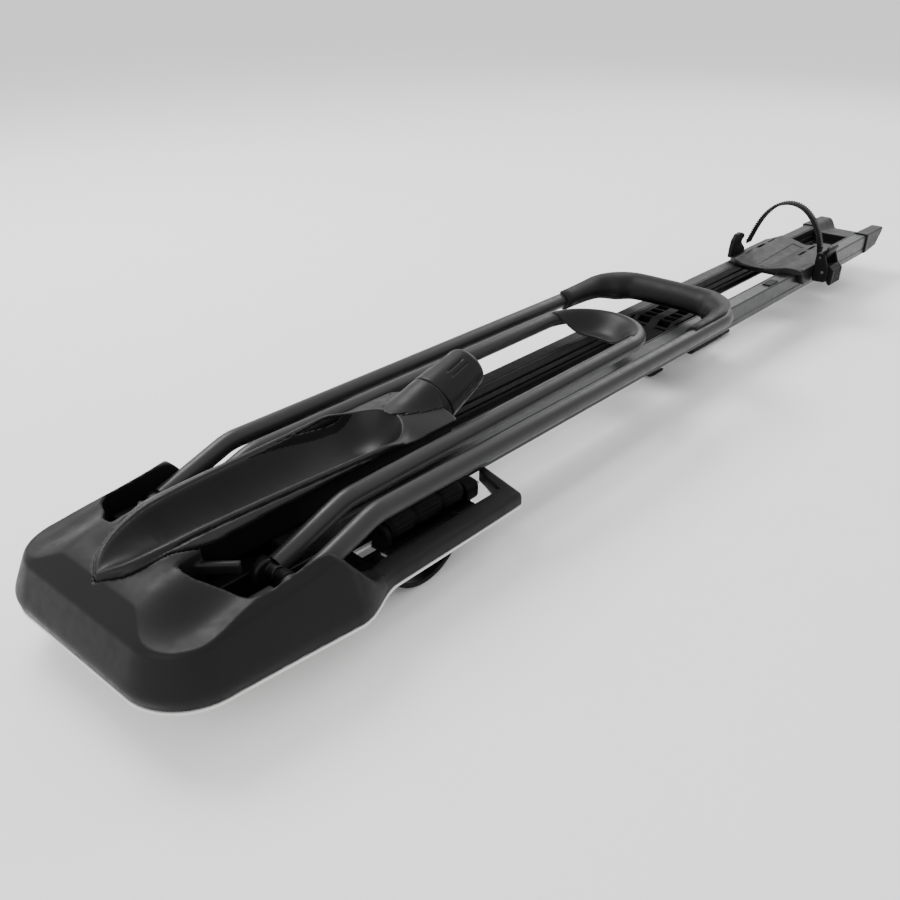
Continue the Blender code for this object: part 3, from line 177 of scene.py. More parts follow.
# Rails
RAIL_START_Y = 172
RAIL_END_Y = 1468
RAIL_INNER = 33
RAIL_OUTER = 56
RAIL_BOTTOM = 10
RAIL_TOP = 42
RAIL_WEB = 36.6
RAIL_SLOT_DEPTH = 2.4
FILLER_HEIGHT = 8
FILLER_PITCH = 14
CAP_END_Y = 1545

# Clamps, cradle and strap
SEAT_Y = 297
JAW_PIVOT = (247, 4.5)
JAW_ARC_RADIUS = 54
JAW_ARC_Z = 14
JAW_SPAN = (85, 98.5)
JAW_THICKNESS = 5
DIAL_X = 73
DIAL_Z = 19.5
DIAL_RADIUS = 11
DIAL_SPAN = (270, 370)
HOUSING_SPAN = (262, 378)
HOUSING_SIDES = (62.3, 84)
PIN_HOLE = 2.3
CARRIAGE_SPAN = (824, 948)
HOOK_HALF = 7
HOOK_PIN = (862, 2)
LEVER_HALF = 8
LEVER_PIN = (974, -12)
CRADLE_SLOTS = ((-38, 1253), (-38, 1291), (30, 1257), (30, 1294))
STRAP_Y = 1240
STRAP_WIDTH = 17
TOOTH_PITCH = 3.8
TOOTH_HEIGHT = 2.3
STRAP_FACE = 1.0
STRAP_BACK = 1.5
BUCKLE_PIVOT = (81, 40)
RELEASE_PIVOT = (74, 62)
RELEASE_HOLE = 1.8
BUCKLE_HALF = 17.9

# Stage
FLOOR_REACH = 14
WORLD_STRENGTH = 1.15
LIGHTS = (
    ("key_from_left", (-1.6, 0.2, 2.1), (1.6, 1.2), 62),
    ("front_fill", (0.6, -2.4, 1.5), (2.4, 1.2), 22),
    ("rear_rim", (-0.4, 3.2, 1.8), (2.0, 1.0), 30),
)
LENS = 38.04
SENSOR = 36
CAMERA_PLACE = (0.6012, -0.5322, 0.494)
CAMERA_TURN = (math.radians(61.984), 0, math.radians(41.632))


# ---------------------------------------------------------------- rules of shape

def curve_through(points, steps):
    """A smooth Catmull-Rom run through the points."""
    points = [np.array(p, float) for p in points]
    last = len(points) - 1
    out = []
    for index in range(last):
        p0, p1, p2, p3 = (points[min(max(index + k, 0), last)] for k in (-1, 0, 1, 2))
        for step in range(steps):
            t = step / steps
            out.append(0.5 * (2 * p1 + (p2 - p0) * t + (2 * p0 - 5 * p1 + 4 * p2 - p3) * t * t
                              + (3 * p1 - p0 - 3 * p2 + p3) * t ** 3))
    return out + [points[-1]]


def smooth_table(table):
    """Places and values of a table, resampled so that np.interp follows a smooth curve."""
    run = curve_through(table, 8)
    return [p[0] for p in run], [p[1] for p in run]


def fillet(path, radius, steps=6, closed=False):
    """Replaces the corners of a path by arcs of one radius."""
    points = [Vector(p) for p in path]
    last = len(points) - 1
    out = []
    for index, corner in enumerate(points):
        if not closed and index in (0, last):
            out.append(tuple(corner))
            continue
        before = (points[index - 1] - corner).normalized()
        after = (points[(index + 1) % len(points)] - corner).normalized()
        half = before.angle(after) / 2
        if half > math.radians(89):
            out.append(tuple(corner))
            continue
        reach = radius / math.tan(half)
        centre = corner + (before + after).normalized() * radius / math.sin(half)
        first = corner + before * reach - centre
        final = corner + after * reach - centre
        for step in range(steps + 1):
            out.append(tuple(centre + first.slerp(final, step / steps).normalized() * radius))
    return out


def flat_fillet(outline, radius, steps=6):
    """Closed 2D outline with rounded corners."""
    return [(x, y) for x, y, z in fillet([(x, y, 0) for x, y in outline], radius, steps, closed=True)]


def doubled(half, shared=0):
    """A run of points followed back by its mirror image, less the points shared at its start."""
    return half + [(-point[0], *point[1:]) for point in reversed(half[shared:])]


def smoothstep(value, low, high):
    t = np.clip((value - low) / (high - low), 0, 1)
    return t * t * (3 - 2 * t)


def outline_distance(x, y, outline):
    """Signed distance from points to a closed outline, negative inside."""
    x, y = np.broadcast_arrays(x, y)
    nearest = np.full(x.shape, np.inf)
    inside = np.zeros(x.shape, bool)
    for (x0, y0), (x1, y1) in zip(outline, outline[1:] + outline[:1]):
        along_x, along_y = x1 - x0, y1 - y0
        length = along_x * along_x + along_y * along_y
        if length < 1e-9:
            continue
        t = np.clip(((x - x0) * along_x + (y - y0) * along_y) / length, 0, 1)
        nearest = np.minimum(nearest, (x - x0 - t * along_x) ** 2 + (y - y0 - t * along_y) ** 2)
        if along_y != 0:
            crosses = ((y0 <= y) != (y1 <= y)) & (x < x0 + along_x * (y - y0) / along_y)
            inside = inside ^ crosses
    distance = np.sqrt(nearest)
    return np.where(inside, -distance, distance)


def both(a, b, radius=0.0):
    """What is inside both fields, with the edge rounded."""
    corner = np.hypot(np.maximum(a + radius, 0), np.maximum(b + radius, 0))
    return np.minimum(np.maximum(a, b), -radius) + corner


def either(a, b, radius=0.0):
    """What is inside one field or the other, with the inner corner filled."""
    return -both(-a, -b, radius)


def without(a, b, radius=0.0):
    return both(a, -b, radius)


def all_of(first, *others):
    """What is inside every field, with sharp edges."""
    for other in others:
        first = np.maximum(first, other)
    return first


def box_field(x, y, z, low, high):
    return all_of(*[np.maximum(a - v, v - b) for v, a, b in zip((x, y, z), low, high)])


def rod(u, v, centre, radius):
    """Endless round rod seen end on."""
    return np.hypot(u - centre[0], v - centre[1]) - radius


# ---------------------------------------------------------------- meshing

def surface_of(field, low, high, step):
    """(points, faces) of the surface where field(x, y, z) crosses zero, as quads drawn in to it."""
    axes = [np.arange(a - 2 * step, b + 3 * step, step) for a, b in zip(low, high)]
    x, y, z = np.meshgrid(*axes, indexing="ij", sparse=True)
    value = np.broadcast_to(field(x, y, z), [len(a) for a in axes]).astype(np.float64)
    inside = value < 0
    cells = tuple(n - 1 for n in value.shape)
    count = np.zeros(cells, np.int8)
    for corner in np.ndindex(2, 2, 2):
        count += inside[tuple(slice(c, c + n) for c, n in zip(corner, cells))]
    mixed = (count > 0) & (count < 8)
    number = np.full(cells, -1, np.int64)
    number[mixed] = np.arange(int(mixed.sum()))
    cell = np.argwhere(mixed)
    total = np.zeros(cell.shape)
    hits = np.zeros(len(cell))
    for axis in range(3):
        for offset in np.ndindex(2, 2):
            start = cell.copy()
            start[:, (axis + 1) % 3] += offset[0]
            start[:, (axis + 2) % 3] += offset[1]
            end = start.copy()
            end[:, axis] += 1
            first, last = value[tuple(start.T)], value[tuple(end.T)]
            crossed = (first < 0) != (last < 0)
            place = start[crossed].astype(float)
            place[:, axis] += first[crossed] / (first[crossed] - last[crossed])
            total[crossed] += place
            hits[crossed] += 1
    points = np.array([a[0] for a in axes]) + total / hits[:, None] * step
    faces = []
    for axis in range(3):
        u, v = (axis + 1) % 3, (axis + 2) % 3
        cut = [slice(None)] * 3
        cut[u] = cut[v] = slice(1, -1)
        lower, upper = list(cut), list(cut)
        lower[axis], upper[axis] = slice(None, -1), slice(1, None)
        a, b = inside[tuple(lower)], inside[tuple(upper)]
        edge = np.argwhere(a != b)
        solid_first = a[tuple(edge.T)]
        edge[:, u] += 1
        edge[:, v] += 1
        ring = []
        for du, dv in ((-1, -1), (0, -1), (0, 0), (-1, 0)):
            shifted = edge.copy()
            shifted[:, u] += du
            shifted[:, v] += dv
            ring.append(number[tuple(shifted.T)])
        quads = np.stack(ring, axis=1)
        quads[~solid_first] = quads[~solid_first][:, ::-1]
        faces.append(quads)
    return draw_in(points, field, step), np.concatenate(faces)


def draw_in(points, field, step, rounds=3):
    """Moves points along the field's slope until they lie on its surface."""
    reach = 0.08 * step
    place = points.T.copy()
    for _ in range(rounds):
        slope = []
        for axis in range(3):
            ahead, behind = place.copy(), place.copy()
            ahead[axis] += reach
            behind[axis] -= reach
            slope.append((field(*ahead) - field(*behind)) / (2 * reach))
        slope = np.array(slope)
        size = np.maximum((slope ** 2).sum(0), 0.05)
        move = slope * field(*place) / size
        length = np.sqrt((move ** 2).sum(0))
        place -= move * np.minimum(1, 0.4 * step / np.maximum(length, 1e-9))
    return place.T


def skin(rings, closed=False):
    """(points, faces) of a closed skin through rings of equal length, capped unless it closes on itself."""
    points = np.concatenate([np.asarray(ring, float) for ring in rings])
    size = len(rings[0])
    faces = []
    spans = len(rings) if closed else len(rings) - 1
    for row in range(spans):
        near, far = row * size, (row + 1) % len(rings) * size
        for index in range(size):
            following = (index + 1) % size
            faces.append((near + index, near + following, far + following, far + index))
    if not closed:
        faces.append(tuple(reversed(range(size))))
        faces.append(tuple(range((len(rings) - 1) * size, len(rings) * size)))
    return points, faces


def sweep(path, section):
    """Rings of a section of (outward, up) points carried along a path that never runs upright."""
    path = np.asarray(path, float)
    rings = []
    last = len(path) - 1
    for index, place in enumerate(path):
        along = path[min(index + 1, last)] - path[max(index - 1, 0)]
        along /= np.linalg.norm(along)
        outward = np.cross(along, (0, 0, 1.0))
        outward /= np.linalg.norm(outward)
        up = np.cross(outward, along)
        ring = section(index) if callable(section) else section
        rings.append([place + outward * a + up * b for a, b in ring])
    return rings


def circle(radius, steps, centre=(0, 0)):
    turns = [2 * math.pi * k / steps for k in range(steps)]
    return [(centre[0] + radius * math.cos(a), centre[1] + radius * math.sin(a)) for a in turns]


def hollow_tube(path, radius, wall, steps=40):
    """Tube with an open bore and flat ring ends."""
    outer = sweep(path, circle(radius, steps))
    inner = sweep(path, circle(radius - wall, steps))
    return skin(outer + inner[::-1], closed=True)


def lathe(profile, start, axis, steps, warp):
    """(points, faces) of a closed (radius, height) profile turned on an axis; warp adds to the radius."""
    axis = np.asarray(axis, float) / np.linalg.norm(axis)
    side = np.cross(axis, (1.0, 0, 0))
    side /= np.linalg.norm(side)
    across = np.cross(side, axis)
    rings = []
    for step in range(steps):
        angle = 2 * math.pi * step / steps
        outward = side * math.cos(angle) + across * math.sin(angle)
        ring = []
        for radius, height in profile:
            grown = radius + warp(angle, height, radius)
            ring.append(np.asarray(start) + outward * grown + axis * height)
        rings.append(ring)
    return skin(rings, closed=True)


def mirrored(shape):
    points, faces = shape
    return np.asarray(points) * (-1, 1, 1), [tuple(reversed([int(i) for i in face])) for face in faces]


PLANES = {
    "X": Matrix(((0, 0, 1, 0), (1, 0, 0, 0), (0, 1, 0, 0), (0, 0, 0, 1))),
    "Y": Matrix(((1, 0, 0, 0), (0, 0, -1, 0), (0, 1, 0, 0), (0, 0, 0, 1))),
    "Z": Matrix.Identity(4),
}


def plate(outlines, low, high, normal="Z", edge=0.6):
    """(points, faces) of flat outlines, the later ones holes, with a thickness and rounded edges."""
    curve = bpy.data.curves.new("plate", "CURVE")
    curve.dimensions = "2D"
    curve.fill_mode = "BOTH"
    curve.extrude = (high - low) / 2 - edge
    curve.bevel_depth = edge
    curve.bevel_resolution = 2
    curve.offset = -edge
    for outline in outlines:
        spline = curve.splines.new("POLY")
        spline.points.add(len(outline) - 1)
        for point, (u, v) in zip(spline.points, outline):
            point.co = (u, v, 0, 1)
        spline.use_cyclic_u = True
    item = added("plate", curve)
    shape = read_mesh(item)
    bpy.data.objects.remove(item, do_unlink=True)
    middle = (low + high) / 2
    shift = {"X": (middle, 0, 0), "Y": (0, middle, 0), "Z": (0, 0, middle)}[normal]
    turn = Matrix.Translation(shift) @ PLANES[normal]
    return np.array([turn @ Vector(p) for p in shape[0]]), shape[1]


def added(name, data):
    """New object in the scene."""
    item = bpy.data.objects.new(name, data)
    bpy.context.scene.collection.objects.link(item)
    return item


def read_mesh(item):
    bpy.context.view_layer.update()
    mesh = bpy.data.meshes.new_from_object(item.evaluated_get(bpy.context.evaluated_depsgraph_get()))
    work = bmesh.new()
    work.from_mesh(mesh)
    bmesh.ops.remove_doubles(work, verts=work.verts, dist=0.0005)
    bmesh.ops.recalc_face_normals(work, faces=work.faces)
    work.verts.index_update()
    points = np.array([v.co for v in work.verts])
    faces = [tuple(v.index for v in face.verts) for face in work.faces]
    work.free()
    bpy.data.meshes.remove(mesh)
    return points, faces


def new_mesh(name, shape, scale=1.0, shift=(0, 0, 0)):
    points, faces = shape
    mesh = bpy.data.meshes.new(name)
    placed = np.asarray(points, float) * scale + np.asarray(shift)
    mesh.from_pydata(placed.tolist(), [], [tuple(int(i) for i in face) for face in faces])
    mesh.validate()
    return mesh


def carved(shape, *cutters):
    """Shape less its cutters, by exact Booleans."""
    body = added("body", new_mesh("body", shape))
    for cutter in cutters:
        modifier = body.modifiers.new("cut", "BOOLEAN")
        modifier.operation = "DIFFERENCE"
        modifier.solver = "EXACT"
        modifier.object = added("tool", new_mesh("tool", cutter))
    result = read_mesh(body)
    for modifier in list(body.modifiers):
        bpy.data.objects.remove(modifier.object, do_unlink=True)
    bpy.data.objects.remove(body, do_unlink=True)
    return result


def soften(item, width, angle):
    """Bevel of a width in millimetres on edges sharper than an angle in degrees."""
    modifier = item.modifiers.new("edge", "BEVEL")
    modifier.width = width * MM
    modifier.segments = 2
    modifier.limit_method = "ANGLE"
    modifier.angle_limit = math.radians(angle)
    return modifier


def piece(name, shape, material, body, node, sharp=50, bevel=0.0):
    """Makes a shown piece that rides on a CAD body and stands for a CAD node."""
    mesh = new_mesh(name, shape, MM, NOSE)
    item = added(name, mesh)
    work = bmesh.new()
    work.from_mesh(mesh)
    bmesh.ops.recalc_face_normals(work, faces=work.faces)
    work.to_mesh(mesh)
    work.free()
    mesh.shade_smooth()
    mesh.set_sharp_from_angle(angle=math.radians(sharp))
    mesh.materials.append(material)
    if bevel:
        soften(item, bevel, 40).harden_normals = True
    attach(item, body)
    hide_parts(node)
    return item


def pair(name, shape, material, bodies, node, sharp=50):
    """Makes a right piece and its mirror image, for the nodes whose names end in _r and _l."""
    piece(name + "_r", shape, material, bodies[0], node + "_r", sharp)
    piece(name + "_l", mirrored(shape), material, bodies[1], node + "_l", sharp)


def paint_shade_on_faces(item, in_shade):
    """Paints shade on the chosen faces, told by centre (mm from the nose) and normal: they get the darkest
    black finish as painted shade.
    """
    item.data.materials.append(UNPOLISHED_AND_PAINTED_SHADE)
    for face in item.data.polygons:
        place = (np.array(face.center) - NOSE) / MM
        if in_shade(place, face.normal):
            face.material_index = 1


# ---------------------------------------------------------------- materials

def node(nodes, kind, **inputs):
    """New shader node with some of its inputs set; an underscore stands for a space."""
    made = nodes.new("ShaderNode" + kind)
    for name, value in inputs.items():
        made.inputs[name.replace("_", " ")].default_value = value
    return made


def noise(nodes, links, coordinates, scale, detail, stretch=None):
    texture = node(nodes, "TexNoise", Scale=scale, Detail=detail)
    if stretch:
        mapping = node(nodes, "Mapping", Scale=stretch)
        links.new(coordinates, mapping.inputs["Vector"])
        coordinates = mapping.outputs["Vector"]
    links.new(coordinates, texture.inputs["Vector"])
    return texture.outputs["Fac"]


def spread(nodes, links, value, low, high, from_low=0.3, from_high=0.7):
    span = node(nodes, "MapRange", From_Min=from_low, From_Max=from_high, To_Min=low, To_Max=high)
    links.new(value, span.inputs["Value"])
    return span.outputs["Result"]


def surface(name, colour, rough, grain, grain_depth, tone=0.12, metallic=0.0, wear=0.0, stretch=None,
            specular=0.5):
    """Moulded, painted or metal finish: colour and roughness that vary, a grain and lighter worn edges."""
    material = bpy.data.materials.new(name)
    material.use_nodes = True
    nodes, links = material.node_tree.nodes, material.node_tree.links
    shader = nodes["Principled BSDF"]
    place = nodes.new("ShaderNodeTexCoord").outputs["Object"]
    broad = noise(nodes, links, place, 14, 4)
    cloudy = noise(nodes, links, place, 90, 3)
    fine = noise(nodes, links, place, grain, 3, stretch)
    mix = nodes.new("ShaderNodeMix")
    mix.data_type = "RGBA"
    for socket, factor in (("A", 1 - tone), ("B", 1 + tone)):
        mix.inputs[socket].default_value = (*[c * factor for c in colour], 1)
    links.new(spread(nodes, links, broad, 0, 1), mix.inputs["Factor"])
    shade = mix.outputs["Result"]
    if wear:
        edge = nodes.new("ShaderNodeNewGeometry").outputs["Pointiness"]
        worn = nodes.new("ShaderNodeMix")
        worn.data_type = "RGBA"
        links.new(shade, worn.inputs["A"])
        worn.inputs["B"].default_value = (*[min(1, c * 1.6 + 0.02) for c in colour], 1)
        links.new(spread(nodes, links, edge, 0, wear, 0.51, 0.6), worn.inputs["Factor"])
        shade = worn.outputs["Result"]
    links.new(shade, shader.inputs["Base Color"])
    links.new(spread(nodes, links, cloudy, rough - 0.05, rough + 0.06), shader.inputs["Roughness"])
    shader.inputs["Metallic"].default_value = metallic
    shader.inputs["Specular IOR Level"].default_value = specular
    bump = node(nodes, "Bump", Strength=0.6, Distance=grain_depth)
    links.new(fine, bump.inputs["Height"])
    links.new(bump.outputs["Normal"], shader.inputs["Normal"])
    return material


SHELL = surface("grained_shell", (0.0055, 0.0055, 0.0057), 0.44, 1500, 0.00005, wear=0.3, specular=0.16)
SMOOTH_PLASTIC = surface("smooth_plastic", (0.006, 0.006, 0.0062), 0.38, 1900, 0.00003, wear=0.3,
                         specular=0.18)
DARK_PLASTIC = surface("dark_plastic", (0.003, 0.003, 0.0031), 0.5, 1300, 0.00005, wear=0.2, specular=0.12)
PAN = surface("grey_pan", (0.62, 0.62, 0.61), 0.5, 900, 0.00004)
COATED_TUBE = surface("coated_tube", (0.022, 0.022, 0.023), 0.36, 800, 0.00002, tone=0.08, metallic=0.2,
                      specular=0.3)
ANODISED = surface("anodised_rail", (0.036, 0.037, 0.038), 0.36, 1.0, 0.00002, tone=0.08, metallic=0.7,
                   stretch=(1700, 9, 1700))
# Darker, less metallic copy of the rail finish for the left rail: painted shade.
ANODISED_PAINTED_SHADE = surface("anodised_rail_painted_shade", (0.01, 0.01, 0.0104), 0.45, 1.0, 0.00002, tone=0.08,
                        metallic=0.35, stretch=(1700, 9, 1700), specular=0.25)
RUBBER = surface("rubber", (0.007, 0.007, 0.0072), 0.62, 1100, 0.00009, specular=0.2)
SOFT_GRIP = surface("soft_grip", (0.006, 0.006, 0.0062), 0.47, 1700, 0.00005, wear=0.2, specular=0.17)
STRAP = surface("strap_plastic", (0.0035, 0.0035, 0.0036), 0.45, 1500, 0.00005, wear=0.3, specular=0.14)
# Black unpolished plastic for several parts; also laid on chosen faces of the scoop and the grip as painted
# shade.
UNPOLISHED_AND_PAINTED_SHADE = surface("unpolished_black_and_painted_shade", (0.0022, 0.0022, 0.0023), 0.6, 1000, 0.00006, specular=0.08)
STEEL = surface("zinc_steel", (0.2, 0.2, 0.205), 0.36, 700, 0.00004, tone=0.15, metallic=0.9)


# ---------------------------------------------------------------- head

def head_half_outline():
    """Right half of the head's widest plan, from the nose to the tail of the arm."""
    points = [(0.0, 0.0)]
    for step in range(25):
        angle = math.pi / 2 * step / 24
        points.append((HEAD_HALF - CORNER_RADIUS * (1 - math.sin(angle)),
                       CORNER_RADIUS * (1 - math.cos(angle))))
    points.append(((HEAD_HALF + HEAD_SHOULDER) / 2, (CORNER_RADIUS + SHOULDER_Y) / 2))
    for step in range(25):
        t = step / 24
        swing = (1 - math.cos(math.pi * t)) / 2
        points.append((HEAD_SHOULDER + (ARM_HALF - HEAD_SHOULDER) * swing,
                       SHOULDER_Y - 8 + (ARM_START_Y - SHOULDER_Y + 8) * t))
    tail = fillet([(ARM_HALF - 0.3, 350, 0), (ARM_HALF - 1, ARM_END_Y, 0), (BAY_INNER + 1, ARM_TAIL_Y, 0)],
                  5)
    return points + [(x, y) for x, y, z in tail]


HALF_OUTLINE = head_half_outline()
HEAD_OUTLINE = doubled(HALF_OUTLINE, 1)
WALL_EDGE = smooth_table([(-10, 46), (0, 46), (40, 46), (80, 50), (120, 53.5), (150, 57), (166, 60),
                          (174, 58.5), (188, 42), (204, 25), (218, 18.5), (240, ARM_HEIGHT),
                          (450, ARM_HEIGHT)])
RIDGE = smooth_table([(-10, 46.5), (0, 46.5), (40, 47), (60, 49.5), (80, 54), (93, 56.5), (109, 59),
                      (130, 61), (148, 63.5), (162, 64.5), (173, 62), (188, 44), (204, 26), (218, 19),
                      (240, ARM_HEIGHT), (450, ARM_HEIGHT)])
POCKET = flat_fillet([(46, 75), (56, 74.5), (65, 77), (75, 83), (85, 89), (96, 93.5), (104, 97),
                      (109.5, 104), (110.5, 114), (110.5, 160), (109, 178), (105, 214), (BAY_OUTER, 236),
                      (BAY_OUTER, BAY_REAR_Y), (BAY_INNER, BAY_REAR_Y + 18), (46, BAY_REAR_Y + 45)], 3)
CHANNEL_WIDTH = smooth_table([(20, 0), (TROUGH_NOSE_Y, 0.5), (34, 3), (39, 8), (48, 15), (61, 21.5),
                              (80, 27.5), (100, 31), (140, 34), (200, 37), (260, 40.5), (310, 44)])
RIM = smooth_table([(20, 60), (TROUGH_NOSE_Y, 63), (46, 71), (80, 80), (130, RIM_HEIGHT), (300, RIM_HEIGHT),
                    (354, REAR_DECK), (410, REAR_DECK)])


def deck_height(side, y):
    """Skin of the head between its side ridges, climbing to the trough."""
    climb = 1 - np.exp(-np.maximum(0, y - CLIMB_START_Y) / CLIMB_LENGTH)
    middle = NOSE_HEIGHT + (DECK_CREST - NOSE_HEIGHT) * climb
    middle = middle + STRIP_SLOPE * np.clip(STRIP_HALF - side, 0, 16) * smoothstep(y, 45, 90)
    middle = middle + (ARM_HEIGHT - middle) * np.interp(y, TAIL_FALL, [0, 1])
    blend = smoothstep(side, STRIP_HALF, RIDGE_REACH)
    return middle + (np.interp(y, *RIDGE) - middle) * blend


def channel_outline():
    """Plan of the opening between the trough's rims, with its round rear end."""
    half = [(float(np.interp(y, *CHANNEL_WIDTH)), y) for y in
            [26, 28, 30, 32, 34, 37, 40, 44, 48, 54, 60, 68, 76, 88, 100, 120, 140, 170, 200, 230, 260, 285,
             CHANNEL_END_Y]]
    rear = [(CHANNEL_END_RADIUS * math.cos(a), CHANNEL_END_Y + CHANNEL_END_RADIUS * math.sin(a))
            for a in np.linspace(0.04, math.pi / 2, 20)]
    return doubled(half + rear)


CHANNEL = channel_outline()


def trough_plan():
    """Plan of the trough's body: a narrow flange at the nose that flares to the pockets' edges."""
    half = []
    for y in [31, 31.6, 32.6, 34, 38, 44, 50, 58, 66, 74, *range(80, 117, 6), 140, 180, 220, 260, 290]:
        flange = (GROOVE_REACH + 2.5) * min(1, math.sqrt(max(0.02, (y - 30.9) / 12)))
        narrow = float(np.interp(y, *CHANNEL_WIDTH)) + flange
        flare = float(smoothstep(np.array(y), 72, 116))
        half.append((min(narrow, STRIP_HALF) * (1 - flare) + STRIP_HALF * flare, y))
    tail = fillet([(STRIP_HALF, 300, 0), (STRIP_HALF, DECK_END_Y, 0), (0, DECK_END_Y, 0)], 5)
    return doubled(half + [(x, y) for x, y, z in tail])


TROUGH_PLAN = trough_plan()


def head_field(x, y, z):
    """Shell with leaning walls, a channel for the trough, and pockets with a bar and a shelf in each."""
    side = np.abs(x)
    plan = outline_distance(x, y, HEAD_OUTLINE)
    fade = np.interp(y, FADE_SPAN, [1, 0])
    rear = np.interp(y, [SHOULDER_Y, REAR_WALL_Y], [1, 0.12])
    over = z - CHIN_HEIGHT
    rounded = np.sqrt(over * over + 9)
    lean = (over + rounded) / 2 * WALL_LEAN * rear
    under = (rounded - over) / 2 / CHIN_HEIGHT * CHIN_UNDERCUT * fade
    wall = plan + lean + under - 0.7
    edge_height = np.interp(y, *WALL_EDGE)
    inboard = -plan - (edge_height - CHIN_HEIGHT) * WALL_LEAN * rear
    top = (z - np.minimum(deck_height(side, y), edge_height + 0.75 * np.maximum(inboard, -1))) * 0.85
    edge = 1.2 + 5 * smoothstep(y, 180, REAR_WALL_Y)
    body = both(wall, top, edge)
    body = both(body, PAN_TOP - z, 1)
    body = without(body, outline_distance(side, y, POCKET), 1.8)
    channel = np.maximum(side - CHANNEL_HALF, CHANNEL_START_Y - y)
    body = without(body, channel, 2)
    slot = np.maximum(outline_distance(side, y, TROUGH_PLAN) - 0.5, 30 - z)
    body = without(body, slot, 0.6)
    across = (side - BAR_START[0]) * BAR_RUN[1] - (y - BAR_START[1]) * BAR_RUN[0]
    along = (side - BAR_START[0]) * BAR_RUN[0] + (y - BAR_START[1]) * BAR_RUN[1]
    bar = both(np.abs(across) - 3.5, np.abs(z - BAR_Z) - 5.5, 2.5)
    bar = both(bar, np.abs(along - 16) - 22, 0.6)
    shelf = both(np.abs(side - 94) - 12, np.maximum(np.abs(y - 118) - 14, np.abs(z - 36) - 3), 1.5)
    return either(body, np.minimum(bar, shelf), 1)


def trough_top(side, y, opening):
    """Skin of the trough outside its channel: a rounded rim, then a strip that slopes to the pocket."""
    rim = np.interp(y, *RIM)
    front = 0.09 * np.clip(opening, 0, GROOVE_REACH) ** 2
    front = front + STRIP_SLOPE * np.maximum(0, opening - GROOVE_REACH)
    crowned = CROWN * side ** 2
    share = smoothstep(y, *REAR_DECK_SPAN)
    return rim - front * (1 - share) - crowned * share


def trough_field(x, y, z):
    """Scoop for the front tyre: a bowl with a rounded rim, a crease along it and an undercut flange."""
    side = np.abs(x)
    plan = outline_distance(side, y, TROUGH_PLAN)
    opening = outline_distance(side, y, CHANNEL)
    crease = CREASE_DEPTH * np.exp(-((opening - GROOVE_REACH - 0.4) / CREASE_WIDTH) ** 2)
    crease = crease * (1 - smoothstep(y, 300, 340))
    lip = trough_top(side, y, opening) - crease
    body = both(plan, z - lip, 1.6)
    under = np.interp(y, [TROUGH_NOSE_Y, 60], [55, TROUGH_UNDERSIDE])
    body = both(body, under - z, 1)
    undercut = all_of(STRIP_HALF - UNDERCUT_WIDTH - side, z - lip + 3.2, UNDERCUT_START_Y - y)
    body = without(body, undercut, 0.5)
    width = np.interp(np.minimum(y, CHANNEL_END_Y), *CHANNEL_WIDTH)
    soft = np.interp(width, [4, 28], [0, 1]) * (1 - smoothstep(y, 240, 300))
    inset = 0.4 + 3.1 * soft
    inward = np.clip(-(opening + inset) / np.maximum(width - inset, 1), 0, 1)
    depth = (RIM_HEIGHT - TROUGH_FLOOR) * np.interp(y, [TROUGH_NOSE_Y, 100, 160], [0.25, 0.85, 1])
    depth = depth * np.minimum(1, width / 30)
    bowl = np.interp(y, *RIM) - depth * (1 - (1 - inward) ** BOWL_ROUNDNESS)
    hollow = np.maximum(opening + inset, (bowl - z) * 0.7)
    body = without(body, hollow, 1.0 + 4.0 * soft)
    return without(body, np.maximum(rod(x, y, (-39, 392), 1.4), 70 - z), 0.3)


def knob_parts(x, y, z):
    """Distance along the knob's axis past its seam, and out from that axis."""
    y, z = y - KNOB_SEAM[1], z - KNOB_SEAM[2]
    along = y * KNOB_AXIS[1] + z * KNOB_AXIS[2]
    up = z * KNOB_AXIS[1] - y * KNOB_AXIS[2]
    return along, np.hypot(x, up)


def boss_field(x, y, z):
    """Barrel that carries the knob, with a flared foot on the trough's deck and a bore for the screw."""
    along, out = knob_parts(x, y, z)
    deck = REAR_DECK - CROWN * x * x
    flare = BOSS_FLARE * np.exp(-np.maximum(0, z - deck) / 3.0)
    barrel = out - (KNOB_BASE_RADIUS - 0.01 * along + flare * (y < DECK_END_Y))
    body = both(barrel, along + 0.3, 1.2)
    seat = np.where(y < DECK_END_Y + 0.3, deck + 0.1 - z, 46 - z)
    body = both(body, seat, 0.4)
    return without(body, all_of(out - BOSS_BORE, -along - 60, along + 8))


def make_head():
    head = surface_of(head_field, (-142, 0, PAN_TOP), (142, ARM_TAIL_Y, 80), 1.7)
    piece("head_shell", head, SHELL, "carrier", "head_cover")
    trough = surface_of(trough_field, (-49, 28, 43), (49, DECK_END_Y, 88), 1.2)
    scoop = piece("wheel_scoop", trough, SMOOTH_PLASTIC, "carrier", "wheel_trough")
    # Painted shade: the scoop's upright side walls under the strip's overhang get the darkest black finish.
    paint_shade_on_faces(scoop, lambda place, normal: abs(normal[0]) > 0.7 and abs(place[0]) > 33)
    boss = surface_of(boss_field, (-33, 350, 44), (33, 425, 106), 1.1)
    piece("knob_barrel", boss, SMOOTH_PLASTIC, "carrier", "knob_boss")
    make_pan()


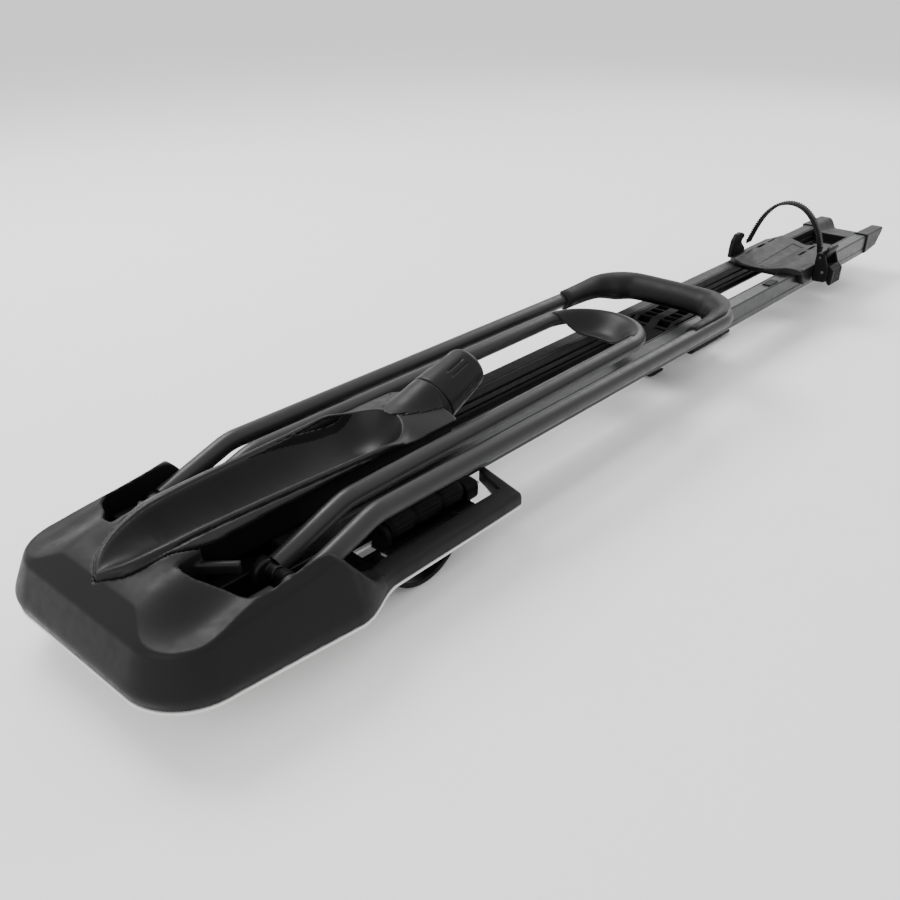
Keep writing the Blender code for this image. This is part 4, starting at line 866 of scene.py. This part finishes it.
def make_pan():
    """Light base pan whose edge shows under the head."""
    half = HALF_OUTLINE
    ring = []
    for index, (x, y) in enumerate(half):
        before, after = half[max(index - 1, 0)], half[min(index + 1, len(half) - 1)]
        run = Vector((after[0] - before[0], after[1] - before[1])).normalized() if index else Vector((1, 0))
        inset = 0.75 * CHIN_UNDERCUT * float(np.interp(y, FADE_SPAN, [1, 0])) - 1.0
        ring.append((x - run.y * inset, y + run.x * inset))
    pan = plate([doubled(ring, 1)], 0, PAN_TOP - 0.3, "Z", 0.5)
    tools = []
    for side in (1, -1):
        window = [(BAY_INNER + 0.5, 240), (BAY_OUTER, 240), (BAY_OUTER, BAY_REAR_Y),
                  (BAY_INNER + 0.5, BAY_REAR_Y + 22)]
        tools.append(plate([[(side * x, y) for x, y in window]], -5, 10, "Z", 0))
    tail = BAY_INNER + 0.5
    tools.append(plate([[(-tail, 418), (tail, 418), (tail, 470), (-tail, 470)]], -5, 10, "Z", 0))
    piece("base_pan_edge", carved(pan, *tools), PAN, "carrier", "base_pan", 40)


# ---------------------------------------------------------------- hoops

def leg_rise(y):
    return float(np.interp(y, [PIVOT_Y, LEG_BEND_Y], [PIVOT_Z, HOOP_Z]))


def leg_path(half_width, end_half, end_y, end_z):
    """Right leg of a hoop, from its open end at the knuckle, round its bend and straight to end_y."""
    start = PIVOT_Y + 5
    return fillet([(half_width, start, leg_rise(start)), (half_width, LEG_BEND_Y, HOOP_Z),
                   (end_half, end_y, end_z)], 60, 14)


def outer_turn(steps):
    corner = OUTER_CORNER_Y + OUTER_CORNER_RADIUS
    turn = []
    for angle in np.linspace(0, math.pi / 2, steps):
        turn.append((OUTER_HALF - OUTER_CORNER_RADIUS * (1 - math.cos(angle)),
                     corner - OUTER_CORNER_RADIUS * (1 - math.sin(angle)), OUTER_END_Z))
    return turn


def outer_hoop_path():
    return doubled(leg_path(OUTER_HALF, OUTER_HALF, OUTER_CORNER_Y - 12, OUTER_END_Z) + outer_turn(24))


def inner_hoop_path():
    leg = leg_path(INNER_HALF, INNER_ARC_HALF, INNER_ARC_Y - 8, INNER_END_Z)
    turn = [(INNER_ARC_HALF * math.cos(a), INNER_ARC_Y + INNER_ARC_HALF * math.sin(a), INNER_END_Z)
            for a in np.linspace(0, math.pi, 56)]
    return leg + turn + [(-x, y, z) for x, y, z in reversed(leg)]


def knuckle_field(centre):
    """Plug at the end of a hoop's leg, bored for the pivot pin, with a round lug beside it."""
    lean = math.atan2(HOOP_Z - PIVOT_Z, LEG_BEND_Y - PIVOT_Y)

    def field(x, y, z):
        along = (y - PIVOT_Y) * math.cos(lean) + (z - PIVOT_Z) * math.sin(lean)
        up = (z - PIVOT_Z) * math.cos(lean) - (y - PIVOT_Y) * math.sin(lean)
        lug = both(np.hypot(along + 5, up + 1) - 13.5, np.abs(x - centre + 4.4) - 4.6, 3.2)
        core = both(np.hypot(along, up) - 7, np.abs(x - centre) - 9.2, 1)
        return without(either(lug, core, 1.5), np.hypot(along, up) - 4.3, 0.5)

    return field


def bracket_field(x, y, z):
    """Base and two round-headed ears that hold the pivot pin."""
    base = box_field(x, y, z, (49, 130, 8.8), (110, 166, 13))
    head = rod(y, z, (PIVOT_Y, PIVOT_Z), 7.5)
    stem = all_of(np.abs(y - PIVOT_Y) - 7.5 - 0.35 * (PIVOT_Z - z), z - PIVOT_Z, 9 - z)
    ears = np.minimum(np.abs(x - 51.2) - 2, np.abs(x - 82.75) - 5.25)
    body = either(base, both(either(head, stem, 1), ears, 0.9), 1.5)
    return without(body, rod(y, z, (PIVOT_Y, PIVOT_Z), 4.4), 0.3)


def make_brackets():
    shape = surface_of(bracket_field, (49, 126, 8.8), (110, 170, 46), 1.0)
    pair("pivot_cradle", shape, UNPOLISHED_AND_PAINTED_SHADE, ("carrier", "carrier"), "pivot_bracket")


def make_hoops():
    for name, path, body in (("outer_hoop", outer_hoop_path(), "outer_hoop_body"),
                             ("inner_hoop", inner_hoop_path(), "inner_hoop_body")):
        tube = hollow_tube(path, HOOP_RADIUS, TUBE_WALL)
        piece(name + "_tube", tube, COATED_TUBE, body, name)
    for name, centre, body in (("outer_knuckle", OUTER_HALF, "outer_hoop_body"),
                               ("inner_knuckle", INNER_HALF, "inner_hoop_body")):
        eye = surface_of(knuckle_field(centre), (centre - 10, PIVOT_Y - 18, PIVOT_Z - 16),
                         (centre + 10, PIVOT_Y + 11, PIVOT_Z + 13), 0.8)
        pair(name + "_eye", eye, SMOOTH_PLASTIC, (body, body), name)


def sleeve_section(swell, ending, corner):
    """Open C section round the inner and upper side of the tube, thicker where swell is 1."""
    inside = HOOP_RADIUS + 0.3
    angles = [math.radians(a) for a in np.linspace(78, 262, 25)]
    ring = [(math.cos(a) * inside, math.sin(a) * inside) for a in angles]
    for step, angle in enumerate(reversed(angles)):
        rounding = 1 - 0.35 * (abs(step / 12 - 1) ** 8)
        wall = SLEEVE_WALL * (1 + 0.3 * swell) * rounding
        wall += SLEEVE_PAD * swell * max(0.0, math.sin(angle)) ** 2 * 0.8
        wall += (SLEEVE_PAD * swell + CORNER_PAD * corner) * max(0.0, -math.cos(angle)) ** 2
        wall = wall * ending + 0.5 * (1 - ending)
        ring.append((math.cos(angle) * (inside + wall), math.sin(angle) * (inside + wall)))
    return ring


def make_sleeve():
    """Soft grip moulded over the inner and upper side of the outer hoop's far end."""
    leg = [(OUTER_HALF, y, OUTER_END_Z) for y in
           (SLEEVE_START_Y, SLEEVE_START_Y + 0.6, SLEEVE_START_Y + 1.8, 790, 800, 812, 824, 836)]
    end_y = OUTER_CORNER_Y + OUTER_CORNER_RADIUS
    half = leg + outer_turn(22)[1:] + [(x, end_y, OUTER_END_Z) for x in (42, 33, 24, 16, 8)]
    path = half + [(0, end_y, OUTER_END_Z)] + [(-x, y, z) for x, y, z in reversed(half)]
    lengths = np.concatenate([[0], np.cumsum([math.dist(a, b) for a, b in zip(path, path[1:])])])
    total = lengths[-1]
    bend_at = OUTER_CORNER_Y - SLEEVE_START_Y + OUTER_CORNER_RADIUS * math.pi / 4

    def section(index):
        from_end = min(lengths[index], total - lengths[index])
        middle = 2 * from_end / total
        swell = 0.12 + (0.88 * float(smoothstep(np.array(middle), 0.0, 0.85)) if middle > 0.02 else 0)
        ending = math.sqrt(min(1.0, from_end / 1.8 + 0.15))
        bend = min(abs(lengths[index] - bend_at), abs(total - lengths[index] - bend_at))
        return sleeve_section(swell, ending, math.exp(-(bend / 34) ** 2))

    grip = piece("grip_sleeve", skin(sweep(path, section)), SOFT_GRIP, "outer_hoop_body", "hoop_sleeve", 45)
    # Painted shade: the grip's downward-facing faces get the darkest black finish.
    paint_shade_on_faces(grip, lambda place, normal: normal[2] < -0.35)


def saddle_field(x, y, z):
    """Dished web inside the bend of the inner hoop, open to the front."""
    out = np.hypot(x, y - INNER_ARC_Y)
    rim = INNER_ARC_HALF - 1
    height = INNER_END_Z - SADDLE_DROP + SADDLE_RISE * smoothstep(out, 26, rim) ** 1.3
    body = both(out - rim, z - height - 1.6, 0.8)
    body = both(body, height - 1.6 - z, 0.8)
    return both(body, SADDLE_LIP_Y - y - 0.004 * x * x + 4, 1.2)


def make_saddle():
    shape = surface_of(saddle_field, (-61, 700, 54), (61, 754, 81), 1.0)
    piece("tyre_saddle", shape, SMOOTH_PLASTIC, "inner_hoop_body", "inner_hoop_saddle")


def make_knob():
    """Round grip with pairs of short scallops, turning with its lead screw."""
    profile = [(0.01, 0.3), (KNOB_BASE_RADIUS - 1.6, 0.3), (KNOB_BASE_RADIUS - 0.7, 0.6),
               (KNOB_BASE_RADIUS - 0.1, 1.4), (KNOB_BASE_RADIUS, 2.6)]
    profile += [(KNOB_BASE_RADIUS + (KNOB_END_RADIUS - KNOB_BASE_RADIUS) * t, 2.6 + (KNOB_LENGTH - 9.6) * t)
                for t in np.linspace(0.03, 1, 44)]
    profile += [(KNOB_END_RADIUS - KNOB_SHOULDER + KNOB_SHOULDER * math.cos(a),
                 KNOB_LENGTH - KNOB_SHOULDER + KNOB_SHOULDER * math.sin(a))
                for a in np.linspace(0.1, math.pi / 2, 10)]
    profile += [(10, KNOB_LENGTH), (7, KNOB_LENGTH - 0.8), (0.01, KNOB_LENGTH - 0.8)]

    def scallop(angle, height, radius):
        if radius < KNOB_END_RADIUS - 1:
            return 0
        window = float(smoothstep(np.array(height), 20, 26) * (1 - smoothstep(np.array(height), 44, 50)))
        depth = 0
        for index in range(SCALLOP_PAIRS):
            for offset in (-SCALLOP_SPREAD, SCALLOP_SPREAD):
                turn = math.radians(150 + 360 / SCALLOP_PAIRS * index + offset)
                gap = (angle - turn + math.pi) % (2 * math.pi) - math.pi
                depth += math.exp(-(gap * radius / 1.15) ** 2)
        return -SCALLOP_DEPTH * depth * window

    knob = lathe(profile, KNOB_SEAM, KNOB_AXIS, 216, scallop)
    piece("knob_grip", knob, SMOOTH_PLASTIC, "knob", "tension_knob")


# ---------------------------------------------------------------- rails

def rail_section():
    """Section of the right rail: a hollow box with an inner lip and slots in its web and top."""
    low, high, near, far = RAIL_BOTTOM, RAIL_TOP, RAIL_INNER, RAIL_OUTER
    groove = near + RAIL_SLOT_DEPTH
    return [(26.5, low), (far - 1.5, low), (far, low + 1.5), (far, 19), (far - 0.8, 19.6), (far - 0.8, 21.4),
            (far, 22), (far, high - 2), (far - 2, high), (RAIL_WEB, high), (RAIL_WEB, 40.9), (groove, 40.9),
            (groove, high), (near + 0.8, high), (near, high - 1), (near, 32.6), (groove, 32.6),
            (groove, 28.6), (near, 28.6), (near, 22.6), (groove, 22.6), (groove, 19.2), (near, 19.2),
            (near, 13), (26.5, 13)]


def make_rails():
    hole = [(RAIL_WEB, 12.4), (53.6, 12.4), (53.6, 39), (RAIL_WEB, 39)]
    rail = plate([rail_section(), hole], RAIL_START_Y, RAIL_END_Y, "Y", 0)
    # The left rail, a mirror of the right, gets the darker copy of the finish as painted shade.
    for rail, label, finish in ((rail, "r", ANODISED), (mirrored(rail), "l", ANODISED_PAINTED_SHADE)):
        piece("rail_profile_" + label, rail, finish, "carrier", "rail_" + label, 30, bevel=0.35)
    plug = flat_fillet([(41, 1094), (53.5, 1094), (53.5, 1124), (41, 1124)], 1.5)
    insert = plate([plug], 42.3, 43.8, "Z", 0.4)
    piece("rail_plug", insert, DARK_PLASTIC, "carrier", "rail_insert", 40)
    low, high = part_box("rear_crossmember")
    bottom, front, rear = (low.z - NOSE[2]) / MM, (low.y - NOSE[1]) / MM, (high.y - NOSE[1]) / MM
    half = high.x / MM

    def filler(x, y, z):
        body = both(np.abs(x) - half, both(z - bottom - FILLER_HEIGHT, bottom - z, 0.8), 0.8)
        body = both(body, np.maximum(front - y, y - rear), 0.8)
        rib = np.abs((y - front) % FILLER_PITCH - FILLER_PITCH / 2) - 5
        return without(body, all_of(rib, np.abs(x) - 27, bottom + 4 - z, y - rear + 4), 0.6)

    shape = surface_of(filler, (-half, front, bottom), (half, rear, bottom + FILLER_HEIGHT), 1.0)
    piece("rail_filler", shape, DARK_PLASTIC, "carrier", "rear_crossmember")


def cap_field(x, y, z):
    """End cap: two ears that flare up round a low middle, with a sloping underside."""
    side = np.abs(x)
    run = (y - RAIL_END_Y) / (CAP_END_Y - RAIL_END_Y)
    ear = smoothstep(side, 20, 40)
    top = 34 + 10.5 * ear - run * (6 - 5 * ear)
    wall = side - (58.8 - 1.5 * run)
    bottom = 10 + 6 * np.maximum(run, 0) + 0.02 * side
    body = both(wall, z - top, 2.5)
    body = both(body, bottom - z, 2)
    rear = y - CAP_END_Y + (1 - smoothstep(z, 12, 42)) * 26
    body = both(body, rear * 0.85, 2)
    return both(body, RAIL_END_Y + 0.3 - y, 0.8)


def make_end_cap():
    shape = surface_of(cap_field, (-61, RAIL_END_Y, 9), (61, CAP_END_Y, 47), 1.15)
    piece("end_cap", shape, SHELL, "carrier", "rail_end_cap")


# ---------------------------------------------------------------- clamps

def make_jaws():
    """Curved straps under the front crossbar, with a raised rib and a pivot eye."""
    outer = JAW_ARC_RADIUS
    inner = outer - JAW_THICKNESS
    low, high = JAW_SPAN

    def jaw(x, y, z):
        out = np.hypot(y - SEAT_Y, z - JAW_ARC_Z)
        across = np.maximum(low - x, x - high)
        band = np.maximum(out - outer, inner - out)
        rib = all_of(out - outer - 0.8, inner - out, np.abs(x - (low + high) / 2) - 2.5)
        strap = both(np.minimum(band, rib), across, 0.8)
        strap = both(strap, z - JAW_ARC_Z + np.where(y > SEAT_Y, 5, 9), 1)
        eye = both(rod(y, z, JAW_PIVOT, 6), across, 0.8)
        return without(either(strap, eye, 1.5), rod(y, z, JAW_PIVOT, 1.8), 0.2)

    shape = surface_of(jaw, (low, 238, -42), (high, 352, 12), 0.9)
    pair("clamp_jaw", shape, DARK_PLASTIC, ("jaw_r", "jaw_l"), "front_jaw")


def make_dials():
    """Long ribbed thumb dials that lie in the arm windows."""
    start, end = DIAL_SPAN
    length = end - start
    profile = [(0.01, 0), (DIAL_RADIUS - 3.4, 0), (DIAL_RADIUS - 2.2, 0.7)]
    for low, high in ((3, 30), (34, 66), (70, length - 3)):
        barrel = [(1.8, low), (0.6, low + 1.2), (0.4, low + 2.5), (0.4, high - 2.5), (0.6, high - 1.2),
                  (1.8, high)]
        profile += [(DIAL_RADIUS - drop, height) for drop, height in barrel]
    profile += [(DIAL_RADIUS - 2.2, length - 0.7), (DIAL_RADIUS - 3.4, length), (0.01, length)]

    def ribs(angle, height, radius):
        return 0.35 * math.cos(18 * angle) if radius > DIAL_RADIUS - 1.5 else 0

    for side, label in ((1, "r"), (-1, "l")):
        dial = lathe(profile, (side * DIAL_X, start, DIAL_Z), (0, 1, 0), 180, ribs)
        piece("thumb_dial_" + label, dial, UNPOLISHED_AND_PAINTED_SHADE, "dial_" + label, "clamp_dial_" + label, 40)


def make_housings():
    """Bearing frames that hold the dials, with a ribbed outer rail."""
    low, high = HOUSING_SIDES
    start, end = HOUSING_SPAN

    def housing(x, y, z):
        base = box_field(x, y, z, (low, start, 0.3), (high + 5, end, 6.5))
        walls = np.minimum(box_field(x, y, z, (low, start, 1), (high, start + 6, 27)),
                           box_field(x, y, z, (low, end - 6, 1), (high, end + 11, 25)))
        crown = np.hypot(x - DIAL_X, (z - 15) * 0.95) - 12
        body = either(base, both(walls, crown, 1), 1.5)
        windows = all_of(np.abs((y - 276) % 22 - 11) - 7, np.abs(x - DIAL_X) - 7, 3.5 - z, 274 - y, y - 366)
        return without(without(body, windows, 1), rod(x, z, (DIAL_X, DIAL_Z), 3), 0.4)

    shape = surface_of(housing, (low, start, 0.3), (high + 5, end + 11, 28), 1.1)
    pair("dial_frame", shape, UNPOLISHED_AND_PAINTED_SHADE, ("carrier", "carrier"), "clamp_housing")


def carriage_field(x, y, z):
    """Rear clamp body: a sloping ribbed top, a neck in the slot, a saddle and two pairs of ears."""
    side = np.abs(x)
    top = np.interp(y, [824, 860, 928, 948], [22, 43, 44, 34])
    start, end = CARRIAGE_SPAN
    body = both(all_of(side - 31.5, start - y, y - end), np.maximum(z - top, 14 - z), 1.2)
    ribs = np.abs((y - 850) % 15 - 7.5) - 5.8
    body = without(body, all_of(np.abs(side - 15) - 8, 30 - z, np.abs(y - 893) - 46, ribs), 1)
    neck = box_field(x, y, z, (-25.5, 836, 5), (25.5, end, 16))
    saddle = both(both(side - 50, np.maximum(880 - y, y - 966), 4), np.maximum(z - 9, -0.5 - z), 1.5)
    body = either(body, either(neck, saddle, 1.5), 1)
    hook_ear = box_field(side, y, z, (HOOK_HALF + 0.6, 855, -6), (HOOK_HALF + 5.6, 884, 9))
    lever_ear = box_field(side, y, z, (LEVER_HALF + 0.6, 962, -20), (LEVER_HALF + 5.6, 984, 9))
    hook_ear = both(hook_ear, np.where(z < 2, rod(y, z, HOOK_PIN, 7), -9), 0.5)
    lever_ear = both(lever_ear, np.where(z < -11, rod(y, z, (973, -11), 10), -9), 0.5)
    body = either(body, either(hook_ear, lever_ear), 0.8)
    body = without(body, box_field(x, y, z, (-HOOK_HALF - 0.6, 846, -12), (HOOK_HALF + 0.6, 877, 12)))
    body = without(body, box_field(x, y, z, (-LEVER_HALF - 0.6, 966.5, -30), (LEVER_HALF + 0.6, 990, 8)))
    return without(without(body, rod(y, z, HOOK_PIN, PIN_HOLE)), rod(y, z, LEVER_PIN, PIN_HOLE))


def make_rear_clamp():
    shape = surface_of(carriage_field, (-51, CARRIAGE_SPAN[0], -21), (51, 985, 45), 1.3)
    piece("clamp_carriage", shape, UNPOLISHED_AND_PAINTED_SHADE, "rear_clamp", "rear_clamp_carriage")
    hook = flat_fillet([(856, 8), (868, 8), (869, -6), (863, -16), (862, -26), (866, -33), (884, -35),
                        (884, -38), (862, -39), (848, -37), (843, -30), (847, -16), (855, -6)], 1.2, 4)
    bore = circle(PIN_HOLE, 19, HOOK_PIN)
    piece("bar_hook", plate([hook, bore], -HOOK_HALF, HOOK_HALF, "X", 0.7), DARK_PLASTIC, "hook",
          "rear_hook", 40)
    lever = flat_fillet([(967, -7), (980, -7), (988, -19), (1004, -27), (1078, -32), (1081, -34.5),
                         (1078, -37), (1000, -36.5), (976, -34), (966.8, -27), (967, -18)], 1.2, 4)
    bore = circle(PIN_HOLE, 19, LEVER_PIN)
    piece("cam_lever", plate([lever, bore], -LEVER_HALF, LEVER_HALF, "X", 0.9), DARK_PLASTIC, "clamp_lever",
          "rear_clamp_lever", 40)


# ---------------------------------------------------------------- rear wheel cradle

CRADLE_FRONT = smooth_table([(-62, 45.5), (-49, 47), (-40, 51.5), (-25, 46), (-7, 44), (9, 44), (24, 47.5),
                             (40, 52), (48, 52), (58, 50), (68, 46)])
CRADLE_REAR = smooth_table([(-62, 46), (-53, 48), (-42, 52.5), (-31, 56), (-9, 51.5), (11, 47.5), (30, 54),
                            (46, 55.5), (58, 53), (68, 48)])
CRADLE_PLAN = flat_fillet([(-36, 1160), (8, 1166), (40, 1160), (66, 1176), (66, 1268), (60, 1326),
                           (-50, 1326), (-60, 1318), (-60, 1200), (-50, 1170)], 5)


def cradle_field(x, y, z):
    """Rear wheel plate: a dished top with a step and four slots, a side tongue and a keel."""
    share = np.clip((y - 1175) / 140, 0, 1)
    top = np.interp(x, *CRADLE_FRONT) * (1 - share) + np.interp(x, *CRADLE_REAR) * share
    plan = outline_distance(x, y, CRADLE_PLAN)
    body = both(plan, z - top, 2)
    body = both(body, 42.3 - z, 0.4)
    tongue = all_of(56.6 - x, x - 66, 24 - z, z - 49)
    tongue = both(tongue, np.abs(y - 1224) - 44 + 0.02 * (z - 46) ** 2, 2)
    keel = box_field(x, y, z, (-32.4, 1176, 33), (32.4, 1312, 44))
    body = either(body, either(tongue, keel), 1.2)
    body = without(body, all_of(np.abs(x - 2) - 9, np.abs(y - 1245) - 62, top - 0.9 - z), 0.8)
    for slot_x, slot_y in CRADLE_SLOTS:
        slot = both(np.abs(x - slot_x) - 2.6, np.abs(y - slot_y) - 13, 2)
        body = without(body, np.maximum(slot, 20 - z), 0.5)
    return body


def make_cradle():
    shape = surface_of(cradle_field, (-61, 1159, 23), (67, 1327, 57), 1.15)
    piece("cradle_plate", shape, SHELL, "cradle", "wheel_cradle")
    tab = flat_fillet([(1186, 42.6), (1232, 42.6), (1232, 51), (1222, 59), (1217, 65), (1226, 70),
                       (1225, 75), (1214, 79), (1200, 78), (1191, 70), (1187, 56)], 2.5, 5)
    piece("anchor_tab", plate([tab], -63, -56, "X", 1.2), DARK_PLASTIC, "cradle", "strap_anchor", 45)


STRAP_SPINE = [(-55, 58.5), (-46, 82), (-36, 102), (-24, 117), (-10, 127), (6, 131.2), (22, 129), (36, 121),
               (48, 108), (56, 94), (61.5, 78), (64, 64)]


def make_strap():
    """Ratchet strap: a flat band with a ladder of teeth down the middle of its outer face."""
    spine = np.array(curve_through(STRAP_SPINE, 16))
    lengths = np.concatenate([[0], np.cumsum(np.hypot(*np.diff(spine, axis=0).T))])
    stations = []
    at = 0.0
    while at < lengths[-1]:
        stations += [(at, 0), (at + 0.25, 1), (at + 1.0, 1), (at + 2.6, 0.15)]
        at += TOOTH_PITCH
    stations = [s for s in stations if 4 < s[0] < lengths[-1] - 6]
    stations = [(0, 0), (0.4, 0)] + stations + [(lengths[-1] - 0.4, 0), (lengths[-1], 0)]
    half = STRAP_WIDTH / 2
    rings = []
    for place, tooth in stations:
        x = np.interp(place, lengths, spine[:, 0])
        z = np.interp(place, lengths, spine[:, 1])
        ahead = min(place + 0.8, lengths[-1])
        behind = max(place - 0.8, 0)
        run = np.array([np.interp(ahead, lengths, spine[:, k]) - np.interp(behind, lengths, spine[:, k])
                        for k in (0, 1)])
        run /= np.linalg.norm(run)
        outward = np.array([-run[1], run[0]])
        crest = STRAP_FACE + TOOTH_HEIGHT * tooth
        shape = [(-half + 0.5, -STRAP_BACK), (-half, -0.9), (-half, 0.6), (-half + 0.5, STRAP_FACE),
                 (-half + 2.4, STRAP_FACE), (-half + 2.7, crest), (half - 2.7, crest),
                 (half - 2.4, STRAP_FACE), (half - 0.5, STRAP_FACE), (half, 0.6), (half, -0.9),
                 (half - 0.5, -STRAP_BACK)]
        rings.append([(x + outward[0] * up, STRAP_Y + across, z + outward[1] * up) for across, up in shape])
    piece("ladder_strap", skin(rings), STRAP, "cradle", "ratchet_strap", 40)


def make_buckle():
    """Ratchet buckle on the near side: forked base, ribbed grip, crescent lever and release tab."""
    cheek_outline = flat_fillet([(67, 24), (88, 25), (90, 44), (80, 69), (68, 69), (67, 46)], 3.5)

    def base(x, y, z):
        cheeks = outline_distance(x, z, cheek_outline)
        far = np.abs(np.abs(y - STRAP_Y) - 20.25) - 1.75
        body = both(cheeks, far, 0.7)
        back = box_field(x, y, z, (67, STRAP_Y - 20, 28), (70, STRAP_Y + 20, 47))
        ribs = all_of(np.abs((z - 28) % 5 - 2.5) - 1.3, x - 70.8, 67 - x, np.abs(y - STRAP_Y) - 17.5,
                      29 - z, z - 46)
        body = either(body, np.minimum(back, ribs), 0.5)
        body = without(body, rod(x, z, BUCKLE_PIVOT, PIN_HOLE), 0.3)
        return without(body, rod(x, z, RELEASE_PIVOT, RELEASE_HOLE), 0.3)

    shape = surface_of(base, (66.5, STRAP_Y - 22, 23), (91, STRAP_Y + 22, 70), 0.8)
    piece("buckle_frame", shape, DARK_PLASTIC, "cradle", "buckle_base")
    lever_outline = flat_fillet([(73, 33), (84, 31), (92, 20), (96, 22), (97, 44), (90, 50), (78, 48),
                                 (73, 42)], 1.8, 5)

    def lever(x, y, z):
        body = both(outline_distance(x, z, lever_outline), np.abs(y - STRAP_Y) - BUCKLE_HALF, 1.2)
        groove = all_of(np.abs((z - 23) % 4.2 - 2.1) - 0.9, np.abs(y - STRAP_Y) - 13, 94.6 - x)
        return without(without(body, groove, 0.3), rod(x, z, BUCKLE_PIVOT, PIN_HOLE), 0.3)

    shape = surface_of(lever, (73, STRAP_Y - 18, 20), (97, STRAP_Y + 18, 50), 0.8)
    piece("ratchet_lever", shape, DARK_PLASTIC, "strap_lever", "buckle_lever")
    tab = flat_fillet([(69.5, 57), (77, 56), (80, 62), (86, 74), (83, 77), (74, 69), (69.5, 66)], 1.2, 4)
    bore = circle(RELEASE_HOLE, 15, RELEASE_PIVOT)
    tab = plate([tab, bore], STRAP_Y - BUCKLE_HALF, STRAP_Y + BUCKLE_HALF, "Y", 0.7)
    piece("release_thumb_tab", tab, DARK_PLASTIC, "release", "release_tab", 45)


# ---------------------------------------------------------------- CAD nodes that stay

CARRIED = {
    UNPOLISHED_AND_PAINTED_SHADE: ["chassis_tray"],
    RUBBER: ["front_crossbar_pad", "rear_crossbar_pad"],
    STEEL: ["hoop_pivot_pin_l", "hoop_pivot_pin_r", "rail_crossmember", "rail_bolt_1", "rail_bolt_2",
            "rail_bolt_3", "rail_bolt_4", "jaw_pin_l", "jaw_pin_r", "clamp_screw_l", "clamp_screw_r",
            "lead_screw", "tension_nut", "rear_hook_pin", "rear_lever_pin", "buckle_pin", "release_pin"],
}


def dress_carried_nodes():
    for material, names in CARRIED.items():
        for name in names:
            item = frame["nodes"][name]
            item.data.materials.clear()
            item.data.materials.append(material)
            joined = item.modifiers.new("joined", "WELD")
            joined.merge_threshold = 0.00001
            soften(item, 0.4, 50)


# ---------------------------------------------------------------- stage

def soft_light(name, place, size, power):
    """Area lamp that faces the middle of the part."""
    data = bpy.data.lights.new(name, "AREA")
    data.shape = "RECTANGLE"
    data.size, data.size_y = size
    data.energy = power
    lamp = added(name, data)
    lamp.location = place
    lamp.rotation_euler = (CENTRE - Vector(place)).to_track_quat("-Z", "Y").to_euler()


def make_stage():
    floor_mesh = bpy.data.meshes.new("floor")
    reach = FLOOR_REACH
    level = CAD_BOX[0].z - 0.0005
    corners = [(x * reach, y * reach, level) for x, y in ((-1, -1), (1, -1), (1, 1), (-1, 1))]
    floor_mesh.from_pydata(corners, [], [(0, 1, 2, 3)])
    floor = added("floor", floor_mesh)
    floor_mesh.materials.append(surface("pale_floor", (0.93, 0.93, 0.93), 0.75, 60, 0.0001, tone=0.005))
    world = bpy.data.worlds.new("studio")
    world.use_nodes = True
    world.node_tree.nodes["Background"].inputs["Color"].default_value = (1, 1, 1, 1)
    world.node_tree.nodes["Background"].inputs["Strength"].default_value = WORLD_STRENGTH
    bpy.context.scene.world = world
    for lamp in LIGHTS:
        soft_light(*lamp)


def make_camera():
    data = bpy.data.cameras.new("camera")
    data.lens = LENS
    data.sensor_width = SENSOR
    camera = added("camera", data)
    camera.location = CAMERA_PLACE
    camera.rotation_euler = CAMERA_TURN
    bpy.context.scene.camera = camera


for make in (make_head, make_brackets, make_hoops, make_sleeve, make_saddle, make_knob, make_rails,
             make_end_cap, make_jaws, make_dials, make_housings, make_rear_clamp, make_cradle, make_strap,
             make_buckle, dress_carried_nodes, make_stage, make_camera):
    make()
